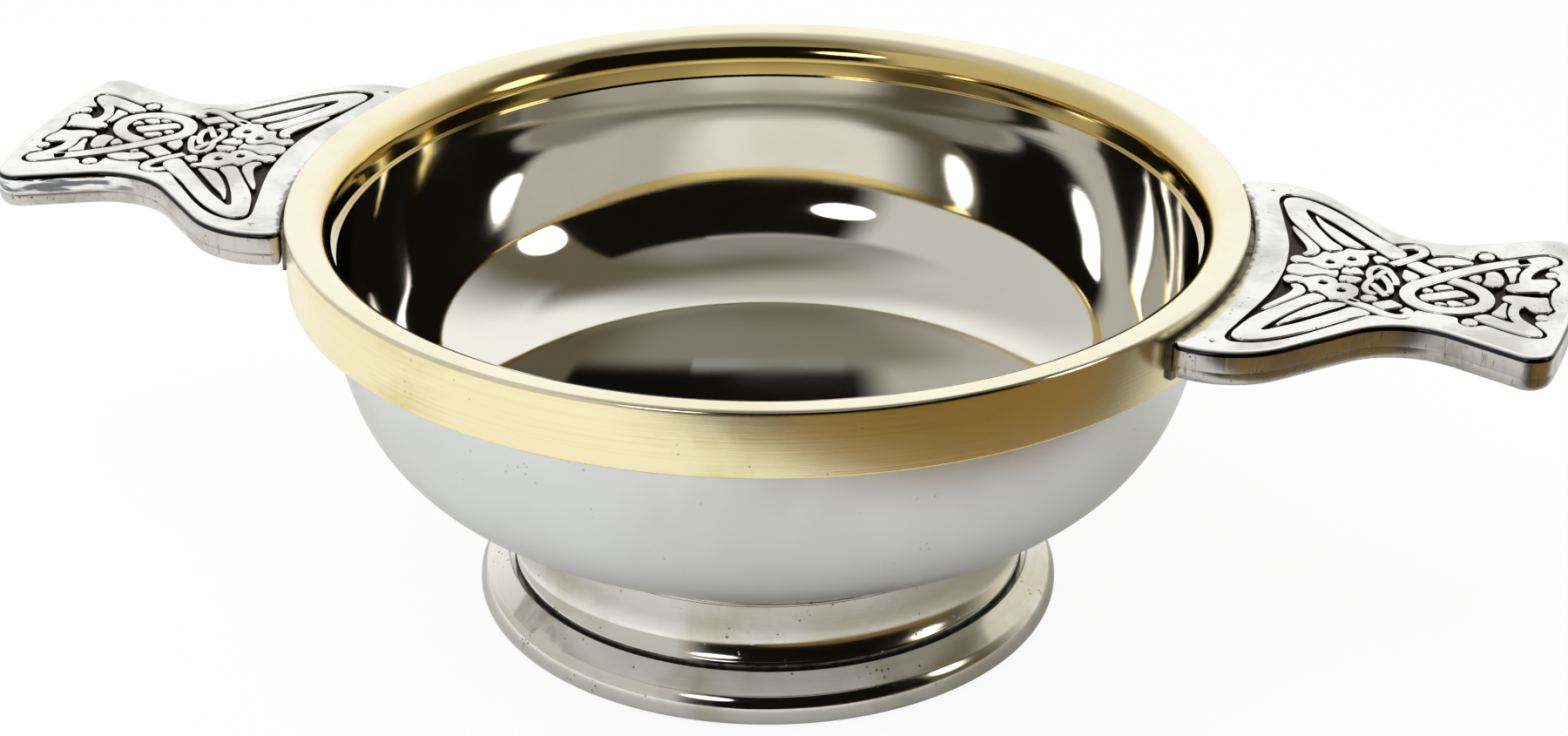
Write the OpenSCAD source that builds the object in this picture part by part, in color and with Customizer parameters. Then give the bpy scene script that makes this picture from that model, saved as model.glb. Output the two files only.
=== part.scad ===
// Quaich: a shallow two-handled drinking bowl of pewter, with a brass rim, cast lugs and a hollow foot.
// Millimetres. +Z is up, the table is at z = 0 under the middle of the foot, and +X runs along the lugs.

/* [Brass rim] */
// Outside diameter of the band
rim_d = 102; // [90:0.5:130]
// Width of the rim across its top, from the band to the opening
rim_w = 4.8; // [4.4:0.1:6]
// Height of the outer band
rim_band_h = 7.2; // [6.8:0.1:10]
// Depth of the inner skirt below the top
rim_skirt_h = 4.8; // [4.6:0.1:6]
// Thickness of the brass sheet
rim_sheet = 0.9; // [0.6:0.05:1.2]
// Rounding of the outer top corner
rim_outer_round = 0.6; // [0.3:0.05:0.9]
// Rounding of the inner top corner
rim_inner_round = 3.3; // [2:0.1:3.6]

/* [Bowl] */
// Thickness of the spun wall
bowl_wall = 1.4; // [1:0.1:2]
// Ledge that the wall leaves inside the brass skirt
bowl_ledge = 0.4; // [0.1:0.1:1]
// Lean of the side at its top, in degrees from upright
bowl_lean = 1.5; // [0:0.5:5]
// Radius of the gently curved side
bowl_side_r = 43; // [34:1:60]
// Lean where the side turns into the corner, in degrees from upright
bowl_turn = 19; // [15:1:24]
// Radius of the round corner
bowl_corner_r = 17.5; // [13:0.5:21]
// Lean where the corner runs into the shallow base, in degrees from upright
bowl_base_lean = 76; // [72:1:82]
// Thickness of the hidden lip inside the rim
lip_wall = 1.2; // [0.8:0.1:1.4]
// Height of the hidden lip above its shoulder
lip_h = 2.4; // [1.5:0.1:2.6]

/* [Foot] */
// Diameter of the hole through the base ring
base_bore_d = 52.8; // [46:0.2:60]
// Width of the seat that carries the stem, from the hole out to the flange
seat_w = 2.25; // [2:0.05:3]
// Width of the flange and rounded edge, from the seat out to the widest part of the ring
flange_w = 3.25; // [2.8:0.05:5]
// Rounding of the base ring's lower edge
foot_edge_round = 1.75; // [1:0.05:2]
// Radius of the bulging upper edge of the base ring
foot_bulge_r = 3; // [2.2:0.1:4]
// Angle up the bulging edge at which it breaks over to the flange
foot_bulge_turn = 38; // [30:1:42]
// Radius of the break between edge and flange
foot_break_r = 1; // [0.6:0.1:1.4]
// Slope of the flange, in degrees below level
flange_slope = 34; // [28:1:40]
// Depth of the seat below the flange's edge
seat_depth = 0.9; // [0.6:0.1:1.2]
// Width of the open seam round the stem's lip
seam_w = 0.55; // [0.3:0.05:0.8]
// Thickness of the solder under the stem
seam_solder_t = 0.35; // [0.2:0.05:0.6]
// Flare of the stem, from its straight neck out to its lip
stem_flare = 1.1; // [0.8:0.1:4]
// Thickness of the stem's wall
stem_wall = 1.2; // [0.8:0.1:1.6]
// Length of the straight neck
stem_neck_h = 2.4; // [1.5:0.1:5]
// Height of the hollow curve of the stem
stem_cove_h = 3.8; // [3:0.1:6]
// Turn of the hollow curve, from upright at the neck to its spread at the lip, in degrees
stem_cove_turn = 65; // [45:1:80]
// Height of the stem's plain lip
stem_lip_h = 0.95; // [0.6:0.05:1.4]
// Height of the collar, from the stem up to the bowl
collar_h = 3.3; // [2.4:0.1:4.5]
// Radius of the bead round the collar
collar_bead_r = 0.3; // [0.2:0.05:0.5]
// Spread of the collar where it meets the bowl
collar_spread = 0.8; // [0.5:0.1:2]

/* [Lugs] */
// Reach of a lug, from the solder to the middle of its tip
lug_len = 33.2; // [29:0.2:40]
// Thickness of a lug
lug_t = 4; // [3.4:0.1:5]
// Drop of a lug's top below the top of the rim
lug_drop = 1.5; // [0.8:0.1:2]
// Width across the root
lug_root_w = 43.4; // [38:0.2:48]
// Radius of the swelling flank at the root
lug_flank_r = 10; // [8:0.5:11]
// Distance of the swelling flank's middle from the solder
lug_flank_u = -0.3; // [-1:0.1:1]
// Rounding of the root corners
lug_root_round = 1.2; // [1.1:0.1:1.6]
// Width across the waist
lug_waist_w = 21.2; // [18:0.2:23]
// Radius of the hollow of the waist
lug_waist_r = 8.6; // [7:0.2:10]
// Distance of the waist from the solder
lug_waist_u = 18.6; // [18:0.2:20]
// Width across the flared tip
lug_tip_w = 29.2; // [27:0.2:33]
// Rounding of the tip's corners
lug_tip_round = 2.4; // [2:0.1:3.2]
// Radius of the slightly bowed tip
lug_tip_r = 80; // [60:1:160]
// Rounding of the upper edge
lug_top_round = 0.9; // [0.5:0.05:1]
// Rounding of the lower edge
lug_foot_round = 0.9; // [0.5:0.05:1]
// Width of the plain border at the sides and the tip
lug_border = 1.9; // [1.5:0.1:2.1]
// Width of the plain border at the root
lug_root_border = 3.3; // [2.6:0.1:4.5]
// Depth of the sunk ground that carries the strapwork
lug_ground = 0.5; // [0.3:0.05:0.8]
// Thickness of the solder between lug and band
lug_solder_t = 0.4; // [0.3:0.05:1]
// Distance of the solder's ends from the lug's sides
lug_solder_inset = 1.5; // [1:0.1:3]
// Distance of the solder below the lug's top
lug_solder_drop = 0.6; // [0.3:0.1:1]
// Reach of the solder below the lug
lug_solder_sag = 0.5; // [0.2:0.1:1]

/* [Fits] */
// Gap between the lip and the brass band, which solder fills by itself
rim_fit = 0.1; // [0.05:0.05:0.2]
// Gap left where curved soldered faces meet
joint_gap = 0.03; // [0.02:0.01:0.05]

/* [Hidden] */
$fn = 160;

// Steps along the curves of a section, and round a corner and an edge of a lug
section_steps = 12;
corner_steps = 8;
edge_steps = 4;
// Share of the room beside it that the hollow of a lug's waist may take
hollow_share = 0.98;

// Radii, from the rim inwards
rim_r = rim_d / 2;
opening_r = rim_r - rim_w;
lip_r = rim_r - rim_sheet - rim_fit;
mouth_r = opening_r - bowl_ledge;
side_r = mouth_r + bowl_wall;
base_bore_r = base_bore_d / 2;
seat_r = base_bore_r + seat_w;
foot_r = seat_r + flange_w;
stem_lip_r = seat_r - seam_w;
stem_r = stem_lip_r - stem_flare;

// The bowl's outer section: where each of its arcs begins, and its depth below the shoulder
turn_r = side_r - bowl_side_r * (cos(bowl_lean) - cos(bowl_turn));
base_edge_r = turn_r - bowl_corner_r * (cos(bowl_turn) - cos(bowl_base_lean));
base_curve_r = base_edge_r / cos(bowl_base_lean);
turn_drop = bowl_side_r * (sin(bowl_turn) - sin(bowl_lean));
base_edge_drop = turn_drop + bowl_corner_r * (sin(bowl_base_lean) - sin(bowl_turn));
bowl_drop = base_edge_drop + base_curve_r * (1 - sin(bowl_base_lean));

// The base ring's upper edge, from the bulge over the break and up the flange
bulge_c = [foot_r - foot_bulge_r, foot_edge_round];
bulge_end = bulge_c + foot_bulge_r * [cos(foot_bulge_turn), sin(foot_bulge_turn)];
break_c = bulge_end - foot_break_r * [cos(foot_bulge_turn), sin(foot_bulge_turn)];
flange_normal = 90 - flange_slope;
flange_start = break_c + foot_break_r * [cos(flange_normal), sin(flange_normal)];
flange_top_z = flange_start[1] + (flange_start[0] - seat_r) * tan(flange_slope);

// Levels, from the table up
seat_z = flange_top_z - seat_depth;
stem_z = seat_z + seam_solder_t;
cove_z = stem_z + stem_lip_h;
neck_z = cove_z + stem_cove_h;
collar_z = neck_z + stem_neck_h;
bowl_z = collar_z + collar_h - base_rise(stem_r);
shoulder_z = bowl_z + bowl_drop;
shoulder_top_z = shoulder_z + bowl_wall;
rim_z = shoulder_top_z + joint_gap + rim_skirt_h;
lug_z = rim_z - lug_drop - lug_t;

// The stem's hollow curve, from the lip up to the neck, which it meets upright
cove_curve = [for (i = [section_steps : -1 : 0])
    let (t = stem_cove_turn * i / section_steps)
    [stem_r + stem_flare * (1 - cos(t)) / (1 - cos(stem_cove_turn)),
     neck_z - stem_cove_h * sin(t) / sin(stem_cove_turn)]];

// A lug in its own plane: x runs out from the bowl's axis, y across the lug
root_r = rim_r + lug_solder_t + joint_gap;
flank_c = [root_r + lug_flank_u, lug_root_w / 2 - lug_flank_r];
tip_x = root_r + lug_len;
tip_c = [tip_x - lug_tip_r, 0];
tip_corner_y = lug_tip_w / 2 - lug_tip_round;
tip_corner_c = [tip_c[0] + sqrt(pow(lug_tip_r - lug_tip_round, 2) - pow(tip_corner_y, 2)), tip_corner_y];
waist_x = root_r + lug_waist_u;
// The hollow of the waist is as wide as asked, or as the flank and the tip's corner leave room for
waist_r = min(lug_waist_r, hollow_room(flank_c, lug_flank_r), hollow_room(tip_corner_c, lug_tip_round));
waist_c = [waist_x, lug_waist_w / 2 + waist_r];

// Half angle that a solder strip takes round the band
solder_half = asin((lug_root_w / 2 - lug_solder_inset) / root_r);

// Rise of the bowl's shallow base above its lowest point, at a radius
function base_rise(r) = base_curve_r - sqrt(pow(base_curve_r, 2) - pow(r, 2));

// Points of an arc from angle a to angle b, both ends included
function arc(c, r, a, b, n) = [for (i = [0 : n]) c + r * [cos(a + (b - a) * i / n), sin(a + (b - a) * i / n)]];

// A list without its first point, for an arc that goes on where the last one ended
function tail(points) = [for (i = [1 : len(points) - 1]) points[i]];

// Direction of a vector, in degrees
function heading(v) = atan2(v[1], v[0]);

// Heading from circle a to circle b of the line that touches a on its left side and b on its right
function cross_heading(a, ra, b, rb) = heading(b - a) - asin((ra + rb) / norm(b - a));

// Upper meeting point of a circle about the origin and a circle about c
function meeting(r, c, rc) =
    let (d = norm(c), x = (d * d + r * r - rc * rc) / (2 * d), y = sqrt(r * r - x * x), u = c / d)
    x * u + y * [-u[1], u[0]];

// Largest hollow at the waist that still clears a rounding of radius r about c
function hollow_room(c, r) =
    let (run = waist_x - c[0], rise = lug_waist_w / 2 - c[1])
    hollow_share * (run * run + rise * rise - r * r) / (2 * (r - rise));

// Section of the bowl below its shoulder, set in from the outer face: from the axis up to the top of the side
function bowl_section(inset, top) =
    let (base_c = [0, bowl_z + base_curve_r],
         corner_c = [turn_r - bowl_corner_r * cos(bowl_turn),
                     shoulder_z - turn_drop + bowl_corner_r * sin(bowl_turn)],
         side_c = [side_r - bowl_side_r * cos(bowl_lean), shoulder_z + bowl_side_r * sin(bowl_lean)])
    concat(arc(base_c, base_curve_r - inset, -90, -bowl_base_lean, section_steps),
           tail(arc(corner_c, bowl_corner_r - inset, -bowl_base_lean, -bowl_turn, section_steps)),
           tail(arc(side_c, bowl_side_r - inset, -bowl_turn, -bowl_lean, section_steps)),
           [[side_r - inset, top]]);

// One side of a lug's outline, from the root corner to the tip's middle. The edge is set in by inset, the root
// follows a circle of radius root about the bowl's axis, and its corner has the given rounding.
function lug_half(root, inset, corner) =
    let (flank_r = lug_flank_r - inset,
         corner_c = meeting(root + corner, flank_c, flank_r - corner),
         flank_from = heading(corner_c - flank_c),
         flank_to = cross_heading(flank_c, lug_flank_r, waist_c, waist_r) + 90,
         flare = 90 - cross_heading(waist_c * [[1, 0], [0, -1]], waist_r,
                                    tip_corner_c * [[1, 0], [0, -1]], lug_tip_round),
         tip_from = heading(tip_corner_c - tip_c))
    concat(arc(corner_c, corner, heading(corner_c) + 180, flank_from, corner_steps),
           tail(arc(flank_c, flank_r, flank_from, flank_to, corner_steps)),
           arc(waist_c, waist_r + inset, flank_to + 180, flare + 180, corner_steps),
           arc(tip_corner_c, lug_tip_round - inset, flare, tip_from, corner_steps),
           tail(arc(tip_c, lug_tip_r - inset, tip_from, 0, corner_steps)));

// The whole outline: one side, the other side mirrored, and the root between their corners
function lug_outline(root, inset, corner) =
    let (half = lug_half(root, inset, corner),
         n = len(half),
         root_half = heading(half[0]))
    concat(half,
           [for (i = [n - 2 : -1 : 0]) [half[i][0], -half[i][1]]],
           [for (i = [1 : 2 * corner_steps - 1])
               let (a = root_half * (i / corner_steps - 1)) root * [cos(a), sin(a)]]);

// Rings of points up one lug, each an outline at a level: lower edge, upper edge, border and sunk ground
function lug_rings() =
    let (top = lug_z + lug_t,
         turns = [for (i = [0 : edge_steps]) 90 * i / edge_steps],
         panel_root = root_r + lug_root_border,
         panel = lug_outline(panel_root, lug_border, lug_tip_round - lug_border))
    concat([for (a = turns)
                lifted(lug_edge(lug_foot_round * (1 - sin(a))), lug_z + lug_foot_round * (1 - cos(a)))],
           [for (a = turns)
                lifted(lug_edge(lug_top_round * (1 - cos(a))), top - lug_top_round * (1 - sin(a)))],
           [lifted(panel, top), lifted(panel, top - lug_ground)]);

// The lug's outer edge set in all round, also at the root
function lug_edge(inset) = lug_outline(root_r + inset, inset, lug_root_round - inset);

// A flat outline raised to a level
function lifted(points, z) = [for (p = points) [p[0], p[1], z]];

// Solid through rings of equally many points, closed by fans from a point of the lowest and the highest level
module skinned(rings, middle) {
    n = len(rings[0]);
    last = len(rings) - 1;
    lower_c = n * len(rings);
    upper_c = lower_c + 1;
    centres = [for (ring = [rings[0], rings[last]]) [middle[0], middle[1], ring[0][2]]];
    // Each ring runs clockwise seen from above
    walls = [for (k = [0 : last - 1], i = [0 : n - 1])
        let (a = k * n + i, b = k * n + (i + 1) % n) each [[a, b, b + n], [a, b + n, a + n]]];
    lower = [for (i = [0 : n - 1]) [lower_c, (i + 1) % n, i]];
    upper = [for (i = [0 : n - 1]) [upper_c, last * n + i, last * n + (i + 1) % n]];
    polyhedron(concat([for (ring = rings, p = ring) p], centres), concat(walls, lower, upper), convexity = 6);
}

module foot_base() {
    section = concat([[base_bore_r, 0]],
                     arc([foot_r - foot_edge_round, foot_edge_round], foot_edge_round, -90, 0, section_steps),
                     tail(arc(bulge_c, foot_bulge_r, 0, foot_bulge_turn, section_steps)),
                     tail(arc(break_c, foot_break_r, foot_bulge_turn, flange_normal, corner_steps)),
                     [[seat_r, flange_top_z], [seat_r, seat_z], [base_bore_r, seat_z]]);
    color([0.72, 0.72, 0.69]) rotate_extrude() polygon(section);
}

module base_solder() {
    color([0.3, 0.29, 0.27])
        translate([0, 0, seat_z])
            difference() {
                cylinder(h = seam_solder_t, r = stem_lip_r);
                translate([0, 0, -seam_solder_t]) cylinder(h = 3 * seam_solder_t, r = stem_lip_r - stem_wall);
            }
}

module foot_stem() {
    inner_r = stem_r - stem_wall;
    inner_lip_r = stem_lip_r - stem_wall;
    inner_curve = [for (i = [section_steps : -1 : 0]) cove_curve[i] - [stem_wall, stem_lip_h / 2]];
    section = concat([[inner_lip_r, stem_z], [stem_lip_r, stem_z]],
                     cove_curve,
                     [[stem_r, collar_z], [inner_r, collar_z]],
                     inner_curve);
    color([0.74, 0.74, 0.71]) rotate_extrude() polygon(section);
}

module foot_collar() {
    inner_r = stem_r - stem_wall;
    spread_r = stem_r + collar_spread;
    bead_c = [stem_r, collar_z + collar_bead_r];
    section = concat([[inner_r, collar_z]],
                     arc(bead_c, collar_bead_r, -90, 90, section_steps),
                     [[spread_r, bowl_z + base_rise(spread_r) - joint_gap],
                      [inner_r, bowl_z + base_rise(inner_r) - joint_gap]]);
    color([0.66, 0.66, 0.63]) rotate_extrude() polygon(section);
}

module bowl() {
    outside = bowl_section(0, shoulder_z);
    inside = bowl_section(bowl_wall, shoulder_top_z);
    lip = [[lip_r, shoulder_z], [lip_r, shoulder_top_z + lip_h], [lip_r - lip_wall, shoulder_top_z + lip_h],
           [lip_r - lip_wall, shoulder_top_z]];
    section = concat(outside, lip, [for (i = [len(inside) - 1 : -1 : 0]) inside[i]]);
    color([0.8, 0.8, 0.78]) rotate_extrude() polygon(section);
}

module brass_rim() {
    skirt_z = rim_z - rim_skirt_h;
    band_z = rim_z - rim_band_h;
    outer_c = [rim_r - rim_outer_round, rim_z - rim_outer_round];
    inner_c = [opening_r + rim_inner_round, rim_z - rim_inner_round];
    inner_fold_r = rim_inner_round - rim_sheet;
    section = concat([[rim_r, band_z]],
                     arc(outer_c, rim_outer_round, 0, 90, section_steps),
                     arc(inner_c, rim_inner_round, 90, 180, section_steps),
                     [[opening_r, skirt_z], [opening_r + rim_sheet, skirt_z]],
                     arc(inner_c, inner_fold_r, 180, 90, section_steps),
                     [[rim_r - rim_sheet, rim_z - rim_sheet], [rim_r - rim_sheet, band_z]]);
    color([0.78, 0.68, 0.4]) rotate_extrude() polygon(section);
}

// Solder strip of the lug on the +X side
module lug_solder() {
    strip_h = lug_t - lug_solder_drop + lug_solder_sag;
    color([0.42, 0.41, 0.39])
        translate([0, 0, lug_z - lug_solder_sag])
            rotate([0, 0, -solder_half])
                rotate_extrude(angle = 2 * solder_half)
                    translate([rim_r, 0]) square([lug_solder_t, strip_h]);
}

// Cast lug on the +X side
module lug() {
    color([0.7, 0.7, 0.68]) skinned(lug_rings(), [waist_x, 0]);
}

module lug_solder_right() { lug_solder(); }

module lug_solder_left() { rotate([0, 0, 180]) lug_solder(); }

module lug_right() { lug(); }

module lug_left() { rotate([0, 0, 180]) lug(); }

foot_base();
base_solder();
foot_stem();
foot_collar();
bowl();
brass_rim();
lug_solder_left();
lug_solder_right();
lug_left();
lug_right();
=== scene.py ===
"""Looks of a quaich: a spun pewter bowl with a folded brass rim, a hollow foot and two strapwork lugs.

Sizes are in millimetres and become metres when a mesh is finished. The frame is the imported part's own: +Z is
up, the table is at z = 0, and +X runs along the lugs.
"""

import logging
import math
from dataclasses import dataclass
from enum import Enum, IntEnum
from functools import lru_cache
from typing import Iterable, Sequence

import bmesh
import bpy
from bmesh.types import BMEdge, BMesh, BMFace
from bpy.types import ID, Material, Node, NodeSocket, NodeTree, Object, World
from mathutils import Matrix, Quaternion, Vector, noise


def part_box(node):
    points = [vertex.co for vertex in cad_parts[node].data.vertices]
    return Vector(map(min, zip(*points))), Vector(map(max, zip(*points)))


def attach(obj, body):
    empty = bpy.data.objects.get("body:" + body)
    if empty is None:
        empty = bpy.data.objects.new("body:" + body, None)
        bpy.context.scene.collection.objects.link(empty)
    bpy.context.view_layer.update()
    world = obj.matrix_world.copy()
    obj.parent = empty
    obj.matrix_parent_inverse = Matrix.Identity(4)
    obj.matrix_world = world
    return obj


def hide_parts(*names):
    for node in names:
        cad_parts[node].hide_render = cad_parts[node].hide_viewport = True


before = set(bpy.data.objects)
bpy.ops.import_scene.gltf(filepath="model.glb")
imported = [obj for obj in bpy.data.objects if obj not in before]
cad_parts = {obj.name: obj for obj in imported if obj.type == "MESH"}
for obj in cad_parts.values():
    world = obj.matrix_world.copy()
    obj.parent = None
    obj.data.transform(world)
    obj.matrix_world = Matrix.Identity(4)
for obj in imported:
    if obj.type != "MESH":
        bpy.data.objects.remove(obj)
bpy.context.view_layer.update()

MM = 0.001  # metres in a millimetre
WELD = 1e-4  # distance at which points merge
SPIN_STEPS = 192  # steps of a full turn
ARC_STEPS = 18  # steps of a plain arc
DISC_STEPS = 24  # sides of a round plate
CORNER_SHARE = 0.45  # most of a side that the rounding of its corner takes
SHARP_ANGLE = math.radians(38)  # edges sharper than this stay crisp
WALL_FACING = 0.9  # least outwardness of an upright wall
NOISE_MIDDLE = 0.5  # mean of even noise
UPRIGHT = 0.25  # share of a turn that stands the glints of a brushed face upright

Point = tuple[float, float]
Range = tuple[float, float]
Triple = tuple[float, float, float]
Colour = Triple
log = logging.getLogger("quaich")


class Slot(Enum):
    """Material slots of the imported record."""

    SATIN = "satin_pewter"
    POLISHED = "polished_pewter"
    CAST = "cast_pewter"
    BRASS = "brass"
    SOLDER = "solder"


class Side(Enum):
    """The side of the bowl that a lug sits on."""

    RIGHT = "right"
    LEFT = "left"


@lru_cache(maxsize=None)
def box(node: str) -> tuple[Vector, Vector]:
    """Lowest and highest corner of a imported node, in millimetres."""
    low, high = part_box(node)
    return low / MM, high / MM


# Flat geometry


def polar(centre: Point, radius: float, degrees: float) -> Point:
    """Point at a radius and an angle from a centre."""
    turn = math.radians(degrees)
    return centre[0] + radius * math.cos(turn), centre[1] + radius * math.sin(turn)


def arc(centre: Point, radius: float, start: float, end: float, steps: int = ARC_STEPS) -> list[Point]:
    """Points along an arc.

    Args:
        centre: Middle of the arc.
        radius: Its radius.
        start: Angle of the first point, in degrees.
        end: Angle of the last point, in degrees.
        steps: Number of equal steps between them.

    Returns:
        The points, both ends included.
    """
    return [polar(centre, radius, start + (end - start) * i / steps) for i in range(steps + 1)]


def heading(a: Point, b: Point) -> float:
    """Direction from a to b, in degrees."""
    return math.degrees(math.atan2(b[1] - a[1], b[0] - a[0]))


def gap(a: Point, b: Point) -> float:
    """Distance from a to b."""
    return math.hypot(b[0] - a[0], b[1] - a[1])


def mirrored(points: Iterable[Point]) -> list[Point]:
    """The points on the other side of the lug's middle line."""
    return [(u, -v) for u, v in points]


def signed_area(points: Sequence[Point]) -> float:
    """Area inside a closed outline, positive where it runs anticlockwise."""
    pairs = zip(points, [*points[1:], points[0]])
    return sum(a[0] * b[1] - b[0] * a[1] for a, b in pairs) / 2


def wound(points: Sequence[Point], anticlockwise: bool) -> list[Point]:
    """A closed outline that runs the asked way round."""
    return list(points) if (signed_area(points) > 0) == anticlockwise else list(reversed(points))


def spline(points: Sequence[Point], closed: bool, step: float = 0.2) -> list[Point]:
    """Smooth curve through given points, as a centripetal Catmull-Rom spline.

    Args:
        points: The points that the curve passes through.
        closed: True if the curve comes back to its first point.
        step: Distance between the points of the result.

    Returns:
        Closely spaced points of the curve.
    """
    knots = [Vector(p) for p in points]
    if closed:
        knots = [knots[-1], *knots, knots[0], knots[1]]
    else:
        knots = [2 * knots[0] - knots[1], *knots, 2 * knots[-1] - knots[-2]]
    curve: list[Point] = []
    for p0, p1, p2, p3 in zip(knots, knots[1:], knots[2:], knots[3:]):
        t0 = 0.0
        t1 = t0 + math.sqrt((p1 - p0).length)
        t2 = t1 + math.sqrt((p2 - p1).length)
        t3 = t2 + math.sqrt((p3 - p2).length)
        count = max(2, math.ceil((p2 - p1).length / step))
        for i in range(count):
            t = t1 + (t2 - t1) * i / count
            a1 = p0.lerp(p1, (t - t0) / (t1 - t0))
            a2 = p1.lerp(p2, (t - t1) / (t2 - t1))
            a3 = p2.lerp(p3, (t - t2) / (t3 - t2))
            b1 = a1.lerp(a2, (t - t0) / (t2 - t0))
            b2 = a2.lerp(a3, (t - t1) / (t3 - t1))
            curve.append(tuple(b1.lerp(b2, (t - t1) / (t2 - t1))))
    if not closed:
        curve.append(tuple(knots[-2]))
    return curve


def eased(points: Sequence[Point], radius: float = 0.35, steps: int = 4) -> list[Point]:
    """A polygon with its corners rounded off.

    Args:
        points: The corners.
        radius: Distance from a corner at which its rounding starts, at most.
        steps: Number of steps round a corner.

    Returns:
        The rounded outline.
    """
    outline: list[Point] = []
    for before, corner, after in zip([points[-1], *points], points, [*points[1:], points[0]]):
        here = Vector(corner)
        start = here + (Vector(before) - here) * min(CORNER_SHARE, radius / gap(corner, before))
        end = here + (Vector(after) - here) * min(CORNER_SHARE, radius / gap(corner, after))
        for i in range(steps + 1):
            t = i / steps
            outline.append(tuple(start.lerp(here, t).lerp(here.lerp(end, t), t)))
    return outline


def disc(centre: Point, radius: float) -> list[Point]:
    """A round outline."""
    return arc(centre, radius, 0, 360, DISC_STEPS)[:-1]


def shifted(points: Sequence[Point], inset: float) -> list[Point]:
    """A closed outline moved towards its left side, which is where its metal lies.

    Args:
        points: The outline.
        inset: Distance to move, negative for the other side.

    Returns:
        The moved outline, point for point.
    """
    moved = []
    for before, here, after in zip([points[-1], *points], points, [*points[1:], points[0]]):
        along = Vector((after[0] - before[0], after[1] - before[1])).normalized()
        moved.append((here[0] - along.y * inset, here[1] + along.x * inset))
    return moved


def strap(points: Sequence[Point], width: float) -> list[Point]:
    """Outline of a band of even width along a smooth line.

    Args:
        points: Points along the middle of the band.
        width: Width of the band.

    Returns:
        The closed outline.
    """
    line = [Vector(p) for p in spline(points, closed=False)]
    sides: tuple[list[Point], list[Point]] = ([], [])
    for before, here, after in zip([line[0], *line], line, [*line[1:], line[-1]]):
        along = (after - before).normalized() * width / 2
        sides[0].append((here.x - along.y, here.y + along.x))
        sides[1].append((here.x + along.y, here.y - along.x))
    return [*sides[1], *reversed(sides[0])]


# Meshes


def closed_loop(bm: BMesh, points: Sequence[Point], z: float) -> list[BMEdge]:
    """Edges of a closed outline at one level."""
    verts = [bm.verts.new((x, y, z)) for x, y in points]
    return [bm.edges.new(pair) for pair in zip(verts, [*verts[1:], verts[0]])]


def bridged(bm: BMesh, loops: Sequence[list[BMEdge]], material: int) -> None:
    """Joins each loop to the next one with faces of a material number."""
    for lower, upper in zip(loops, loops[1:]):
        for face in bmesh.ops.bridge_loops(bm, edges=[*lower, *upper])["faces"]:
            face.material_index = material


def filled(bm: BMesh, loops: Iterable[list[BMEdge]], material: int) -> None:
    """Fills the flat area inside the first loop and outside the others with faces of a material number."""
    edges = [edge for loop in loops for edge in loop]
    made = bmesh.ops.triangle_fill(bm, edges=edges, use_beauty=True, use_dissolve=False)["geom"]
    for item in made:
        if isinstance(item, BMFace):
            item.material_index = material


def turned(section: Sequence[Point], closed: bool) -> BMesh:
    """Spins a section round the bowl's axis.

    Args:
        section: Radius and height of each point.
        closed: True if the last point joins the first one.

    Returns:
        The spun mesh, with its poles welded and its faces pointing outwards.
    """
    bm = bmesh.new()
    verts = [bm.verts.new((r, 0, z)) for r, z in section]
    ends = [*verts[1:], verts[0]] if closed else verts[1:]
    edges = [bm.edges.new(pair) for pair in zip(verts, ends)]
    bmesh.ops.spin(bm, geom=[*verts, *edges], axis=(0, 0, 1), cent=(0, 0, 0), angle=math.tau,
                   steps=SPIN_STEPS, use_merge=True)
    bmesh.ops.remove_doubles(bm, verts=bm.verts, dist=WELD)
    bmesh.ops.recalc_face_normals(bm, faces=bm.faces)
    return bm


def outwardness(face: BMFace) -> float:
    """How far a face looks away from the bowl's axis, from -1 to 1."""
    middle = face.calc_center_median()
    return face.normal.dot(Vector((middle.x, middle.y, 0)).normalized())


def set_on(bm: BMesh, side: Side) -> None:
    """Turns a mesh made for the right side by half a turn about the bowl's axis if it sits on the left."""
    if side is Side.LEFT:
        bmesh.ops.rotate(bm, verts=bm.verts, matrix=Matrix.Rotation(math.pi, 3, "Z"))


def linked(name: str, data: ID) -> Object:
    """A new object in the scene."""
    made = bpy.data.objects.new(name, data)
    bpy.context.scene.collection.objects.link(made)
    return made


def finished(bm: BMesh, name: str, materials: Sequence[Material], node: str) -> Object:
    """Turns a mesh into a piece of the part.

    Args:
        bm: The mesh, in millimetres, which is freed.
        name: Name of the piece.
        materials: Its materials, in the order of the faces' material numbers.
        node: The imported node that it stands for.

    Returns:
        The new object.
    """
    bmesh.ops.scale(bm, vec=Vector((MM, MM, MM)), verts=bm.verts)
    mesh = bpy.data.meshes.new(name)
    bm.to_mesh(mesh)
    bm.free()
    for material in materials:
        mesh.materials.append(material)
    mesh.shade_smooth()
    mesh.set_sharp_from_angle(angle=SHARP_ANGLE)
    piece = linked(name, mesh)
    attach(piece, "root")
    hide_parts(node)
    return piece


# Finishes


def shaded(colour: Colour, share: float) -> Colour:
    """A colour with its strength multiplied."""
    return tuple(share * c for c in colour)


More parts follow.
